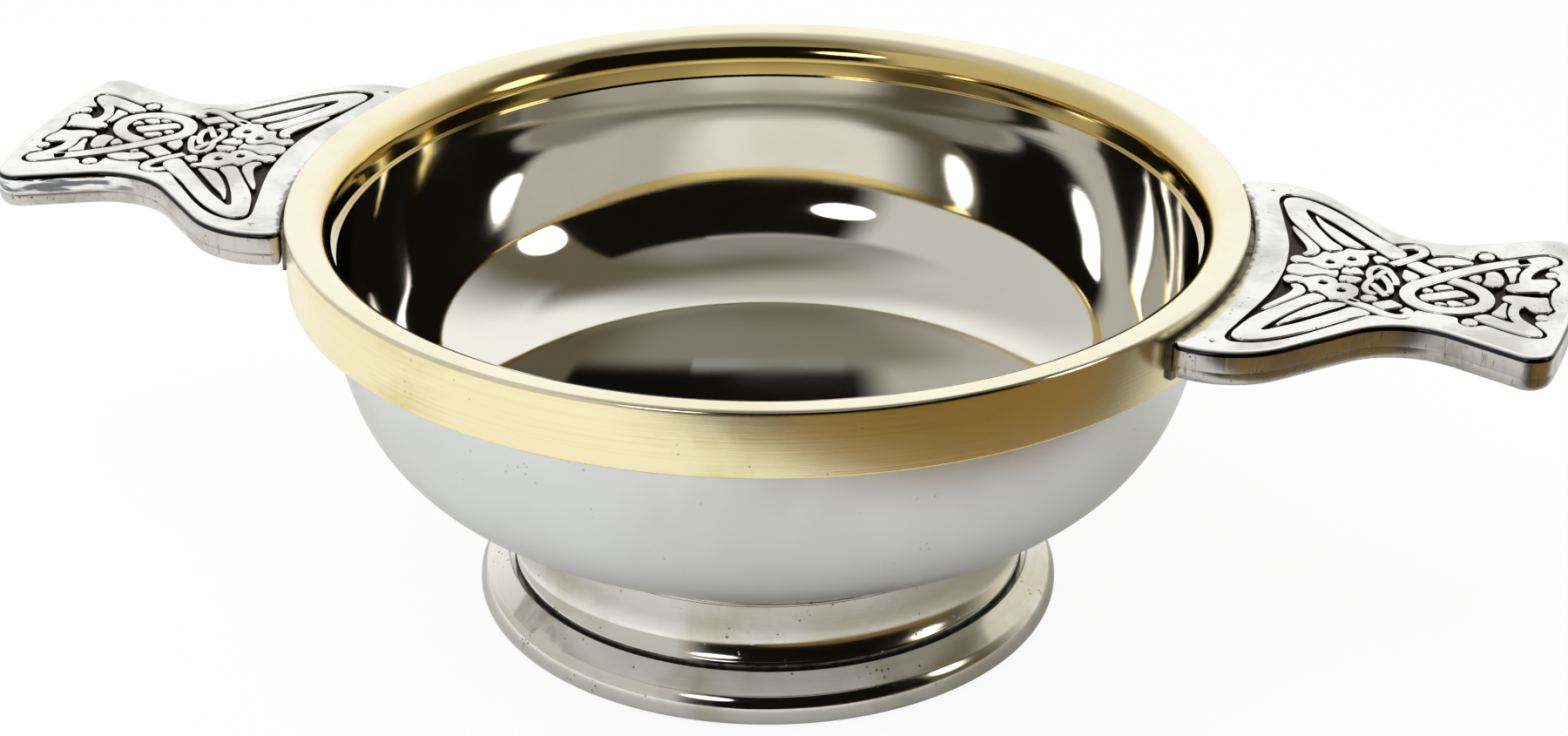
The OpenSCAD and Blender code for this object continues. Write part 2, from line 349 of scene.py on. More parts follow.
class Net:
    """Short ways to fill a node tree."""

    def __init__(self, tree: NodeTree) -> None:
        """Keeps the tree that the nodes go into."""
        self.tree = tree

    @classmethod
    def cleared(cls, owner: Material | World) -> "Net":
        """The net of a material or a world whose nodes are all removed."""
        owner.use_nodes = True
        owner.node_tree.nodes.clear()
        return cls(owner.node_tree)

    def add(self, kind: str, inputs: dict | None = None, **settings: object) -> Node:
        """Adds a node.

        Args:
            kind: The node's type.
            inputs: A value or a socket to link for each named or numbered input.
            **settings: Properties of the node.

        Returns:
            The node.
        """
        node = self.tree.nodes.new(kind)
        for key, value in settings.items():
            setattr(node, key, value)
        for key, value in (inputs or {}).items():
            if isinstance(value, NodeSocket):
                self.tree.links.new(value, node.inputs[key])
            else:
                node.inputs[key].default_value = value
        return node

    def math(self, operation: str, *values: object) -> NodeSocket:
        """Result of a sum on values or sockets."""
        return self.add("ShaderNodeMath", dict(enumerate(values)), operation=operation).outputs[0]

    def vector(self, operation: str, inputs: dict) -> Node:
        """Node of a sum on vectors."""
        return self.add("ShaderNodeVectorMath", inputs, operation=operation)

    def ranged(self, value: NodeSocket, start: float, end: float, low: float = 0.0,
               high: float = 1.0) -> NodeSocket:
        """A value eased from low to high while it goes from start to end."""
        inputs = {"Value": value, "From Min": start, "From Max": end, "To Min": low, "To Max": high}
        return self.add("ShaderNodeMapRange", inputs, interpolation_type="SMOOTHSTEP").outputs[0]

    def between(self, value: NodeSocket, rising: Range, falling: Range) -> NodeSocket:
        """A mask that eases in over one range of a value and out again over another one."""
        return self.math("MULTIPLY", self.ranged(value, *rising), self.ranged(value, *falling, 1, 0))

    def mixed(self, share: object, first: object, second: object) -> NodeSocket:
        """Colour between two colours, each of them a socket or three numbers."""
        first, second = (c if isinstance(c, NodeSocket) else (*c, 1) for c in (first, second))
        return self.add("ShaderNodeMix", {0: share, 6: first, 7: second}, data_type="RGBA").outputs[2]

    def noise(self, place: NodeSocket, scale: float, detail: float = 4.0,
              roughness: float = 0.7) -> NodeSocket:
        """Even noise from 0 to 1."""
        inputs = {"Vector": place, "Scale": scale, "Detail": detail, "Roughness": roughness}
        return self.add("ShaderNodeTexNoise", inputs).outputs[0]

    def stretched(self, place: NodeSocket, scale: Triple) -> NodeSocket:
        """A place with its three parts scaled, for drawn-out noise."""
        return self.add("ShaderNodeMapping", {0: place, "Scale": scale}).outputs[0]

    def group(self, tree: NodeTree, **inputs: object) -> NodeSocket:
        """Output of a shared group with its inputs set."""
        return self.add("ShaderNodeGroup", inputs, node_tree=tree).outputs[0]

    def about_axis(self, place: NodeSocket) -> tuple[Node, NodeSocket, NodeSocket]:
        """Splits a place about the bowl's axis.

        Args:
            place: The place.

        Returns:
            The node of its three parts, its level part, and its distance from the axis.
        """
        xyz = self.add("ShaderNodeSeparateXYZ", {0: place})
        level = self.add("ShaderNodeCombineXYZ", {0: xyz.outputs[0], 1: xyz.outputs[1]}).outputs[0]
        return xyz, level, self.vector("LENGTH", {0: level}).outputs["Value"]

    def rays(self) -> tuple[Node, NodeSocket]:
        """The light path, and a mask of the rays that show the background."""
        path = self.add("ShaderNodeLightPath")
        return path, self.math("MAXIMUM", path.outputs["Is Camera Ray"], path.outputs["Is Transmission Ray"])


class SharedEffects:
    """Node groups that several finishes use, each built once."""

    STAIN_EDGE = (0.42, 0.68)
    PIT_EDGE = (0.08, 0.26)
    PATCH_SHARE = 0.21

    def __init__(self) -> None:
        """Builds the groups."""
        self.turning = self._turning()
        self.stains = self._stains()
        self.pits = self._pits()

    @staticmethod
    def _group(name: str, values: Sequence[str], output: str) -> tuple[Net, Node, Node]:
        """An empty group with its sockets.

        Args:
            name: The group's name.
            values: Names of its inputs beside the place, which are plain values.
            output: Name of its output, a plain value too.

        Returns:
            The group's net, its input node and its output node.
        """
        tree = bpy.data.node_groups.new(name, "ShaderNodeTree")
        tree.interface.new_socket("Place", in_out="INPUT", socket_type="NodeSocketVector")
        for key in values:
            tree.interface.new_socket(key, in_out="INPUT", socket_type="NodeSocketFloat")
        tree.interface.new_socket(output, in_out="OUTPUT", socket_type="NodeSocketFloat")
        net = Net(tree)
        return net, net.add("NodeGroupInput"), net.add("NodeGroupOutput")

    def _turning(self) -> NodeTree:
        """Fine marks that run round the bowl's axis, as a lathe and a polishing mop leave them."""
        net, start, end = self._group("turning marks", ["Fineness", "Along"], "Height")
        xyz, level, radius = net.about_axis(start.outputs["Place"])
        round_it = net.vector("NORMALIZE", {0: level}).outputs[0]
        across = net.math("MULTIPLY", net.math("ADD", radius, xyz.outputs[2]), start.outputs["Fineness"])
        spread = net.vector("SCALE", {0: round_it, "Scale": start.outputs["Along"]}).outputs[0]
        lift = net.add("ShaderNodeCombineXYZ", {2: across}).outputs[0]
        place = net.vector("ADD", {0: spread, 1: lift}).outputs[0]
        net.tree.links.new(net.noise(place, scale=1.0, detail=5.0, roughness=0.65), end.inputs["Height"])
        return net.tree

    def _stains(self) -> NodeTree:
        """Soft cloudy patches, from handling and from air."""
        net, start, end = self._group("handling stains", ["Scale"], "Mask")
        place, scale = start.outputs["Place"], start.outputs["Scale"]
        cloud = net.add("ShaderNodeTexNoise", {"Vector": place, "Scale": scale, "Detail": 4.0,
                                               "Roughness": 0.6, "Distortion": 0.4})
        net.tree.links.new(net.ranged(cloud.outputs[0], *self.STAIN_EDGE), end.inputs["Mask"])
        return net.tree

    def _pits(self) -> NodeTree:
        """Small scattered pits, as a casting keeps them."""
        net, start, end = self._group("casting pits", ["Scale", "Sparse"], "Mask")
        place, scale = start.outputs["Place"], start.outputs["Scale"]
        cells = net.add("ShaderNodeTexVoronoi", {"Vector": place, "Scale": scale})
        dots = net.ranged(cells.outputs["Distance"], *self.PIT_EDGE, 1.0, 0.0)
        wide = net.math("MULTIPLY", scale, self.PATCH_SHARE)
        patch = net.add("ShaderNodeTexNoise", {"Vector": place, "Scale": wide, "Detail": 2.0})
        kept = net.math("GREATER_THAN", patch.outputs[0], start.outputs["Sparse"])
        net.tree.links.new(net.math("MULTIPLY", dots, kept), end.inputs["Mask"])
        return net.tree


@dataclass(frozen=True)
class Metal:
    """A metal finish: its colour, gloss, turning marks, stains and pits."""

    name: str
    colour: Colour
    stain: Colour
    gloss: Range
    stain_scale: float = 60.0
    turning: float = 0.0
    fineness: float = 6000.0
    along: float = 3.0
    streaks: float = 0.0
    pit_scale: float = 1500.0
    pit_sparse: float = 0.62
    pit_dark: float = 0.35
    pitting: float = 0.0
    brush: float = 0.0
    bump_depth: float = 0.02

    def surface(self, net: Net, effects: SharedEffects) -> dict[str, object]:
        """Makes the nodes that every metal finish has.

        Args:
            net: The material's net.
            effects: The shared groups.

        Returns:
            The sockets named place, colour, roughness and height.
        """
        place = net.add("ShaderNodeTexCoord").outputs["Object"]
        marks = net.group(effects.turning, Place=place, Fineness=self.fineness, Along=self.along)
        stains = net.group(effects.stains, Place=place, Scale=self.stain_scale)
        pits = net.group(effects.pits, Place=place, Scale=self.pit_scale, Sparse=self.pit_sparse)
        brushed = net.math("MULTIPLY", marks, self.turning)
        pitted = net.math("MULTIPLY", pits, self.pitting)
        uneven = net.math("SUBTRACT", marks, NOISE_MIDDLE)
        tone = net.mixed(net.math("MULTIPLY_ADD", uneven, self.streaks, stains), self.colour, self.stain)
        spots = net.math("MULTIPLY", pits, min(1.0, self.pitting))
        low, high = self.gloss
        return {"place": place,
                "colour": net.mixed(spots, tone, shaded(self.stain, self.pit_dark)),
                "roughness": net.math("ADD", net.math("MULTIPLY", stains, high - low), low),
                "height": net.math("SUBTRACT", brushed, pitted)}

    def build(self, effects: SharedEffects) -> Material:
        """Makes the material.

        Args:
            effects: The shared groups.

        Returns:
            The material.
        """
        material = bpy.data.materials.new(self.name)
        material.use_nodes = True
        net = Net(material.node_tree)
        shader = material.node_tree.nodes["Principled BSDF"]
        shader.inputs["Metallic"].default_value = 1.0
        shader.inputs["Anisotropic"].default_value = self.brush
        shader.inputs["Anisotropic Rotation"].default_value = UPRIGHT
        surface = self.surface(net, effects)
        depth = self.bump_depth * MM
        bump = net.add("ShaderNodeBump", {"Height": surface["height"], "Distance": depth, "Strength": 1.0})
        net.tree.links.new(surface["colour"], shader.inputs["Base Color"])
        net.tree.links.new(surface["roughness"], shader.inputs["Roughness"])
        net.tree.links.new(bump.outputs[0], shader.inputs["Normal"])
        return material


@dataclass(frozen=True)
class ReliefMetal(Metal):
    """A cast metal whose sunk parts hold a dark patina while its tops are polished; on a lug's top edge the
    same dark is a glossy band on the lower part of the rounding.
    """

    top: float = 0.0
    depth: float = 0.34
    sunk: Range = (0.75, 0.25)
    patina: Colour = (0.022, 0.016, 0.009)
    patina_gloss: float = 0.5
    crust: float = 5.0
    crust_scale: float = 1500.0
    crust_edge: Range = (0.5, 0.72)
    root: float = 0.0
    root_edge: Range = (1.0, 1.5)
    root_dark: float = 0.7
    ragged: float = 1.6
    ragged_scale: float = 900.0

    def surface(self, net: Net, effects: SharedEffects) -> dict[str, object]:
        """Adds the patina of the ground and of the root's rough edge.

        Args:
            net: The material's net.
            effects: The shared groups.

        Returns:
            The sockets named place, colour, roughness and height.
        """
        made = super().surface(net, effects)
        xyz, _, radius = net.about_axis(made["place"])
        low, high = ((self.top - share * self.depth) * MM for share in self.sunk)
        sunk = net.ranged(xyz.outputs[2], low, high, 1, 0)
        ragged = net.math("MULTIPLY", net.noise(made["place"], self.ragged_scale), self.ragged * MM)
        start, end = ((self.root + reach) * MM for reach in self.root_edge)
        edge = net.ranged(net.math("ADD", radius, ragged), start, end, self.root_dark, 0)
        dark = net.math("MAXIMUM", sunk, edge)
        crumbs = net.ranged(net.noise(made["place"], self.crust_scale), *self.crust_edge)
        patina = net.mixed(crumbs, self.patina, shaded(self.patina, self.crust))
        made["colour"] = net.mixed(dark, made["colour"], patina)
        dull = net.math("MULTIPLY", dark, self.patina_gloss)
        made["roughness"] = net.math("MAXIMUM", made["roughness"], dull)
        return made


@dataclass(frozen=True)
class DraggedMetal(Metal):
    """A cast side that a file and a mop have dragged over from top to bottom."""

    drag: float = 1.0
    drag_scale: float = 2600.0
    drag_stretch: Triple = (1.0, 1.0, 0.12)
    drag_edge: Range = (0.56, 0.72)
    drag_share: float = 0.6
    drag_dark: float = 0.3
    worn_ends: Range = (-71.0, -67.0)
    worn_level: float = 0.0
    worn_blend: float = 0.2
    worn_colour: Colour = (0.80, 0.80, 0.79)
    worn_dark: Colour = (0.16, 0.165, 0.18)
    worn_gloss: float = 0.1
    wave: float = 5.0
    wave_scale: float = 700.0
    wave_stretch: Triple = (0.4, 0.4, 2.0)
    wave_edge: Range = (0.40, 0.58)

    def surface(self, net: Net, effects: SharedEffects) -> dict[str, object]:
        """Adds the upright drag marks, and the wavy bright patch worn by hands near the left lug's tip.

        Args:
            net: The material's net.
            effects: The shared groups.

        Returns:
            The sockets named place, colour, roughness and height.
        """
        made = super().surface(net, effects)
        marks = net.noise(net.stretched(made["place"], self.drag_stretch), self.drag_scale)
        deep = net.ranged(marks, *self.drag_edge)
        dragged = net.math("MULTIPLY", deep, self.drag_share)
        made["colour"] = net.mixed(dragged, made["colour"], shaded(self.stain, self.drag_dark))
        made["height"] = net.math("SUBTRACT", made["height"], net.math("MULTIPLY", deep, self.drag))
        xyz = net.add("ShaderNodeSeparateXYZ", {0: made["place"]})
        near_tip = net.ranged(xyz.outputs[0], *(end * MM for end in self.worn_ends), 1, 0)
        start, end = ((self.worn_level + blend) * MM for blend in (-self.worn_blend, self.worn_blend))
        worn = net.math("MULTIPLY", near_tip, net.ranged(xyz.outputs[2], start, end))
        drawn = net.stretched(made["place"], self.wave_stretch)
        strokes = net.noise(drawn, self.wave_scale, detail=2.0, roughness=0.55)
        rubbed = net.mixed(net.ranged(strokes, *self.wave_edge), self.worn_dark, self.worn_colour)
        made["colour"] = net.mixed(worn, made["colour"], rubbed)
        shine = net.math("MULTIPLY", net.math("SUBTRACT", made["roughness"], self.worn_gloss), worn)
        made["roughness"] = net.math("SUBTRACT", made["roughness"], shine)
        waves = net.math("MULTIPLY", net.math("MULTIPLY", strokes, self.wave), worn)
        made["height"] = net.math("ADD", made["height"], waves)
        return made


@dataclass(frozen=True)
class HighlightToppedMetal(Metal):
    """A polished metal with a painted highlight, pale at its top, and a deeper tone lower down."""

    top: float = 0.0
    depth: float = 1.5
    deep: Colour = (0.73, 0.565, 0.215)

    def surface(self, net: Net, effects: SharedEffects) -> dict[str, object]:
        """Adds the deeper tone below the painted pale highlight.

        Args:
            net: The material's net.
            effects: The shared groups.

        Returns:
            The sockets named place, colour, roughness and height.
        """
        made = super().surface(net, effects)
        level = net.add("ShaderNodeSeparateXYZ", {0: made["place"]}).outputs[2]
        sunk = net.ranged(level, (self.top - self.depth) * MM, self.top * MM, 1, 0)
        made["colour"] = net.mixed(sunk, made["colour"], self.deep)
        return made


class Palette:
    """All the finishes of the part, built once."""

    # distance below the rim's top above which the roll shows its painted pale highlight in full
    ROLL_HIGHLIGHT_INSET = 0.1
    SIDE_WORN = 2.1

    def __init__(self, rim_top: float, lug_top: float, lug_root: float) -> None:
        """Builds the materials.

        Args:
            rim_top: Level of the rim's top.
            lug_top: Level of the lugs' tops.
            lug_root: Radius of the lugs' root about the bowl's axis.
        """
        effects = SharedEffects()
        self.satin = Metal(
            "satin_pewter", colour=(0.67, 0.675, 0.665), stain=(0.63, 0.63, 0.605), gloss=(0.34, 0.42),
            stain_scale=30.0, turning=0.5, fineness=5200.0, along=2.0,
            pit_scale=1300.0, pit_sparse=0.66, pitting=0.5).build(effects)
        self.mirror = Metal(
            "mirror_pewter", colour=(0.80, 0.785, 0.735), stain=(0.77, 0.75, 0.69), gloss=(0.035, 0.07),
            stain_scale=45.0, turning=0.05, fineness=4200.0, along=2.5).build(effects)
        self.polished = Metal(
            "polished_pewter", colour=(0.745, 0.73, 0.68), stain=(0.56, 0.52, 0.41), gloss=(0.06, 0.14),
            stain_scale=55.0, turning=0.12, fineness=5200.0, streaks=0.7,
            pit_scale=1300.0, pit_sparse=0.61, pitting=1.0).build(effects)
        self.band = Metal(
            "brushed_brass", colour=(0.86, 0.775, 0.49), stain=(0.76, 0.64, 0.325), gloss=(0.22, 0.28),
            stain_scale=55.0, turning=0.5, fineness=5600.0, along=1.6, streaks=2.0,
            pit_scale=1300.0, pit_sparse=0.64, pitting=0.5, brush=0.75).build(effects)
        # the roll's pale top is a painted highlight; lower down it keeps the deeper brass tone
        self.roll = HighlightToppedMetal(
            "polished_brass", colour=(0.87, 0.825, 0.655), stain=(0.83, 0.775, 0.57), gloss=(0.06, 0.11),
            turning=0.08, fineness=5000.0, along=2.5, top=rim_top - self.ROLL_HIGHLIGHT_INSET).build(effects)
        self.solder = Metal(
            "dull_solder", colour=(0.20, 0.19, 0.17), stain=(0.08, 0.072, 0.06), gloss=(0.42, 0.6),
            stain_scale=500.0, pit_sparse=0.5, pitting=2.0).build(effects)
        self.side = DraggedMetal(
            "cast_pewter_side", colour=(0.57, 0.55, 0.51), stain=(0.41, 0.385, 0.34), gloss=(0.3, 0.4),
            stain_scale=160.0, pit_sparse=0.55, pitting=1.0,
            worn_level=lug_top - self.SIDE_WORN).build(effects)
        # the top edge's dark colour is a glossy dark band over the lower part of its rounding, bright at its
        # crest
        self.border = ReliefMetal(
            "dark_lug_edge", colour=(0.86, 0.855, 0.84), stain=(0.82, 0.81, 0.79), gloss=(0.1, 0.16),
            stain_scale=90.0, pit_scale=1200.0, pit_sparse=0.66, pitting=0.8, top=lug_top, depth=0.32,
            patina=(0.03, 0.033, 0.04), patina_gloss=0.1, crust=1.6, root=lug_root).build(effects)
        self.relief = ReliefMetal(
            "strapwork_pewter", colour=(0.86, 0.86, 0.85), stain=(0.60, 0.595, 0.575), gloss=(0.12, 0.18),
            stain_scale=110.0, pitting=0.8, top=lug_top, root=lug_root).build(effects)


# Turned pieces


@dataclass(frozen=True)
class FoldedRim:
    """The brass channel over the bowl's lip: a satin band outside, a rolled top and a short skirt inside."""

    width: float = 4.8
    skirt: float = 4.8
    sheet: float = 0.9
    outer_round: float = 0.6
    inner_round: float = 3.3
    hem: float = 0.25
    hem_steps: int = 4
    round_steps: int = 8

    def section(self) -> list[Point]:
        """Its section, from the band's lower edge over the top and back inside."""
        low, high = box("brass_rim")
        rim, top, foot = min(high.x, high.y), high.z, low.z
        opening = rim - self.width
        outer = (rim - self.outer_round, top - self.outer_round)
        inner = (opening + self.inner_round, top - self.inner_round)
        return [*arc((rim - self.hem, foot + self.hem), self.hem, -90, 0, self.hem_steps),
                *arc(outer, self.outer_round, 0, 90, self.round_steps),
                *arc(inner, self.inner_round, 90, 180),
                (opening, top - self.skirt), (opening + self.sheet, top - self.skirt),
                *arc(inner, self.inner_round - self.sheet, 180, 90, self.round_steps),
                (rim - self.sheet, top - self.sheet), (rim - self.sheet, foot)]

    def build(self, palette: Palette) -> Object:
        """Spins the rim and dresses its band and its roll."""
        bm = turned(self.section(), closed=True)
        for face in bm.faces:
            face.material_index = 0 if outwardness(face) > WALL_FACING else 1
        return finished(bm, "rim_folded", [palette.band, palette.roll], "brass_rim")


@dataclass(frozen=True)
class SpunBowl:
    """The bowl, satin outside and mirror bright inside, with the turned-out lip that carries the rim."""

    wall: float = 1.4
    ledge: float = 0.4
    lean: float = 1.5
    side_radius: float = 43.0
    turn: float = 19.0
    corner_radius: float = 17.5
    base_lean: float = 76.0
    lip_wall: float = 1.2
    lip_height: float = 2.4
    inner_tilt: float = 0.02
    base_steps: int = 24
    corner_steps: int = 24
    side_steps: int = 16

    def face_section(self, side: float, bottom: float, inset: float, top: float) -> list[Point]:
        """Section of one face, from the axis up.

        Args:
            side: Outer radius at the top of the side.
            bottom: Level of the outer face on the axis.
            inset: Distance of this face inside the outer one.
            top: Level at which the side ends.

        Returns:
            Radius and height of each point.
        """
        turn_at = side - self.side_radius * (self.cos(self.lean) - self.cos(self.turn))
        base_at = turn_at - self.corner_radius * (self.cos(self.turn) - self.cos(self.base_lean))
        base_radius = base_at / self.cos(self.base_lean)
        base = (0.0, bottom + base_radius)
        base_end = polar(base, base_radius, -self.base_lean)
        corner = polar(base_end, self.corner_radius, 180 - self.base_lean)
        corner_end = polar(corner, self.corner_radius, -self.turn)
        wall = polar(corner_end, self.side_radius, 180 - self.turn)
        return [*arc(base, base_radius - inset, -90, -self.base_lean, self.base_steps),
                *arc(corner, self.corner_radius - inset, -self.base_lean, -self.turn, self.corner_steps)[1:],
                *arc(wall, self.side_radius - inset, -self.turn, -self.lean, self.side_steps)[1:],
                (side - inset, top)]

    @staticmethod
    def cos(degrees: float) -> float:
        """Cosine of an angle in degrees."""
        return math.cos(math.radians(degrees))

    def section(self, rim: FoldedRim) -> list[Point]:
        """The whole section, from the axis outside to the axis inside."""
        low, high = box("bowl")
        shoulder_top = high.z - self.lip_height
        side = box("brass_rim")[1].x - rim.width - self.ledge + self.wall
        outside = self.face_section(side, low.z, 0.0, shoulder_top - self.wall)
        inside = self.face_section(side, low.z, self.wall, shoulder_top)
        lip = [(high.x, shoulder_top - self.wall), (high.x, high.z), (high.x - self.lip_wall, high.z),
               (high.x - self.lip_wall, shoulder_top)]
        return [*outside, *lip, *reversed(inside)]

    def build(self, palette: Palette, rim: FoldedRim) -> Object:
        """Spins the bowl and dresses its two faces."""
        bm = turned(self.section(rim), closed=False)
        for face in bm.faces:
            face.material_index = int(face.normal.z > self.inner_tilt or outwardness(face) < 0)
        return finished(bm, "bowl_spun", [palette.satin, palette.mirror], "bowl")


@dataclass(frozen=True)
class Foot:
    """The hollow foot: a base ring with a flange, the waisted stem in it, and the collar below the bowl."""

    bore: float = 52.8
    seat_width: float = 2.25
    edge_round: float = 1.75
    bulge_radius: float = 3.0
    bulge_turn: float = 38.0
    break_radius: float = 1.0
    flange_slope: float = 34.0
    seat_depth: float = 0.9
    lip_ease: float = 0.2
    flare: float = 1.1
    stem_wall: float = 1.2
    neck: float = 2.4
    cove: float = 3.8
    cove_turn: float = 65.0
    bead: float = 0.3
    collar_spread: float = 0.8
    bulge_steps: int = 12
    break_steps: int = 8
    bead_steps: int = 10

    @property
    def neck_radius(self) -> float:
        """Radius of the stem's straight neck."""
        return box("foot_stem")[1].x - self.flare

    @property
    def seat(self) -> float:
        """Radius of the base ring's seat, which the stem stands in."""
        return self.bore / 2 + self.seat_width

    def in_shaded_seam(self, face: BMFace) -> bool:
        """Whether a face lies in the seam of stem and base ring, whose upright walls take the dull solder
        colour: solder in the joint and painted shade in the crevice.
        """
        middle = face.calc_center_median()
        upright = abs(outwardness(face)) > WALL_FACING
        near = self.seat - self.seat_depth < middle.xy.length < self.seat + self.lip_ease / 2
        return upright and near and middle.z < box("foot_base")[1].z

    def base_section(self) -> list[Point]:
        """Section of the base ring, from its bore under the edge and up the flange to the seat."""
        edge = box("foot_base")[1].x
        bore, seat = self.bore / 2, self.seat
        slope = math.tan(math.radians(self.flange_slope))
        bulge = (edge - self.bulge_radius, self.edge_round)
        turn_over = polar(bulge, self.bulge_radius - self.break_radius, self.bulge_turn)
        normal = 90 - self.flange_slope
        start = polar(turn_over, self.break_radius, normal)
        flange_top = start[1] + (start[0] - seat) * slope
        floor = flange_top - self.seat_depth
        return [(bore, 0.0),
                *arc((edge - self.edge_round, self.edge_round), self.edge_round, -90, 0, self.bulge_steps),
                *arc(bulge, self.bulge_radius, 0, self.bulge_turn, self.bulge_steps)[1:],
                *arc(turn_over, self.break_radius, self.bulge_turn, normal, self.break_steps)[1:],
                (seat + self.lip_ease, flange_top - self.lip_ease * slope),
                (seat, flange_top - self.lip_ease), (seat, floor), (bore, floor)]

    def stem_section(self) -> list[Point]:
        """Section of the stem, from its lip up the hollow curve to the neck and down inside."""
        low, high = box("foot_stem")
        neck_radius = self.neck_radius
        neck_foot = high.z - self.neck
        lip_top = neck_foot - self.cove
        end = math.radians(self.cove_turn)
        curve = []
        for i in range(ARC_STEPS + 1):
            t = end * (1 - i / ARC_STEPS)
            curve.append((neck_radius + self.flare * (1 - math.cos(t)) / (1 - math.cos(end)),
                          neck_foot - self.cove * math.sin(t) / math.sin(end)))
        drop = (lip_top - low.z) / 2
        inside = [(r - self.stem_wall, z - drop) for r, z in reversed(curve)]
        lip = [(high.x - self.stem_wall, low.z), (high.x, low.z), (high.x, lip_top - self.lip_ease)]
        curve[0] = (high.x - self.lip_ease, curve[0][1] + self.lip_ease / 2)
        return [*lip, *curve, (neck_radius, high.z), (neck_radius - self.stem_wall, high.z), *inside]

    def collar_section(self, bowl: SpunBowl, rim: FoldedRim) -> list[Point]:
        """Section of the collar, a bead with a flare up to the bowl."""
        low, high = box("foot_collar")
        neck_radius = self.neck_radius
        inner = neck_radius - self.stem_wall
        outside = bowl.section(rim)
        bottom = outside[0][1]
        span = outside[bowl.base_steps]
        base_radius = (span[0] ** 2 + (span[1] - bottom) ** 2) / (2 * (span[1] - bottom))
        inner_top = bottom + base_radius - math.sqrt(base_radius ** 2 - inner ** 2)
        return [(inner, low.z),
                *arc((neck_radius, low.z + self.bead), self.bead, -90, 90, self.bead_steps),
                (neck_radius + self.collar_spread, high.z), (inner, inner_top)]

    def build(self, palette: Palette, bowl: SpunBowl, rim: FoldedRim) -> list[Object]:
        """Spins the three turned pieces of the foot, colours the walls of their seam dark as solder and
        painted shade, and dresses the solder in its seam.
        """
        made = []
        for node, name, section in (("foot_base", "foot_base_turned", self.base_section()),
                                    ("foot_stem", "foot_stem_turned", self.stem_section()),
                                    ("foot_collar", "foot_collar_turned", self.collar_section(bowl, rim))):
            bm = turned(section, closed=True)
            for face in bm.faces:
                # the seam's upright walls take the dark solder colour, partly painted shade in the crevice
                # between stem and base ring
                face.material_index = int(self.in_shaded_seam(face))
            made.append(finished(bm, name, [palette.polished, palette.solder], node))
        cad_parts["base_solder"].material_slots[0].material = palette.solder
        return made


# Lugs


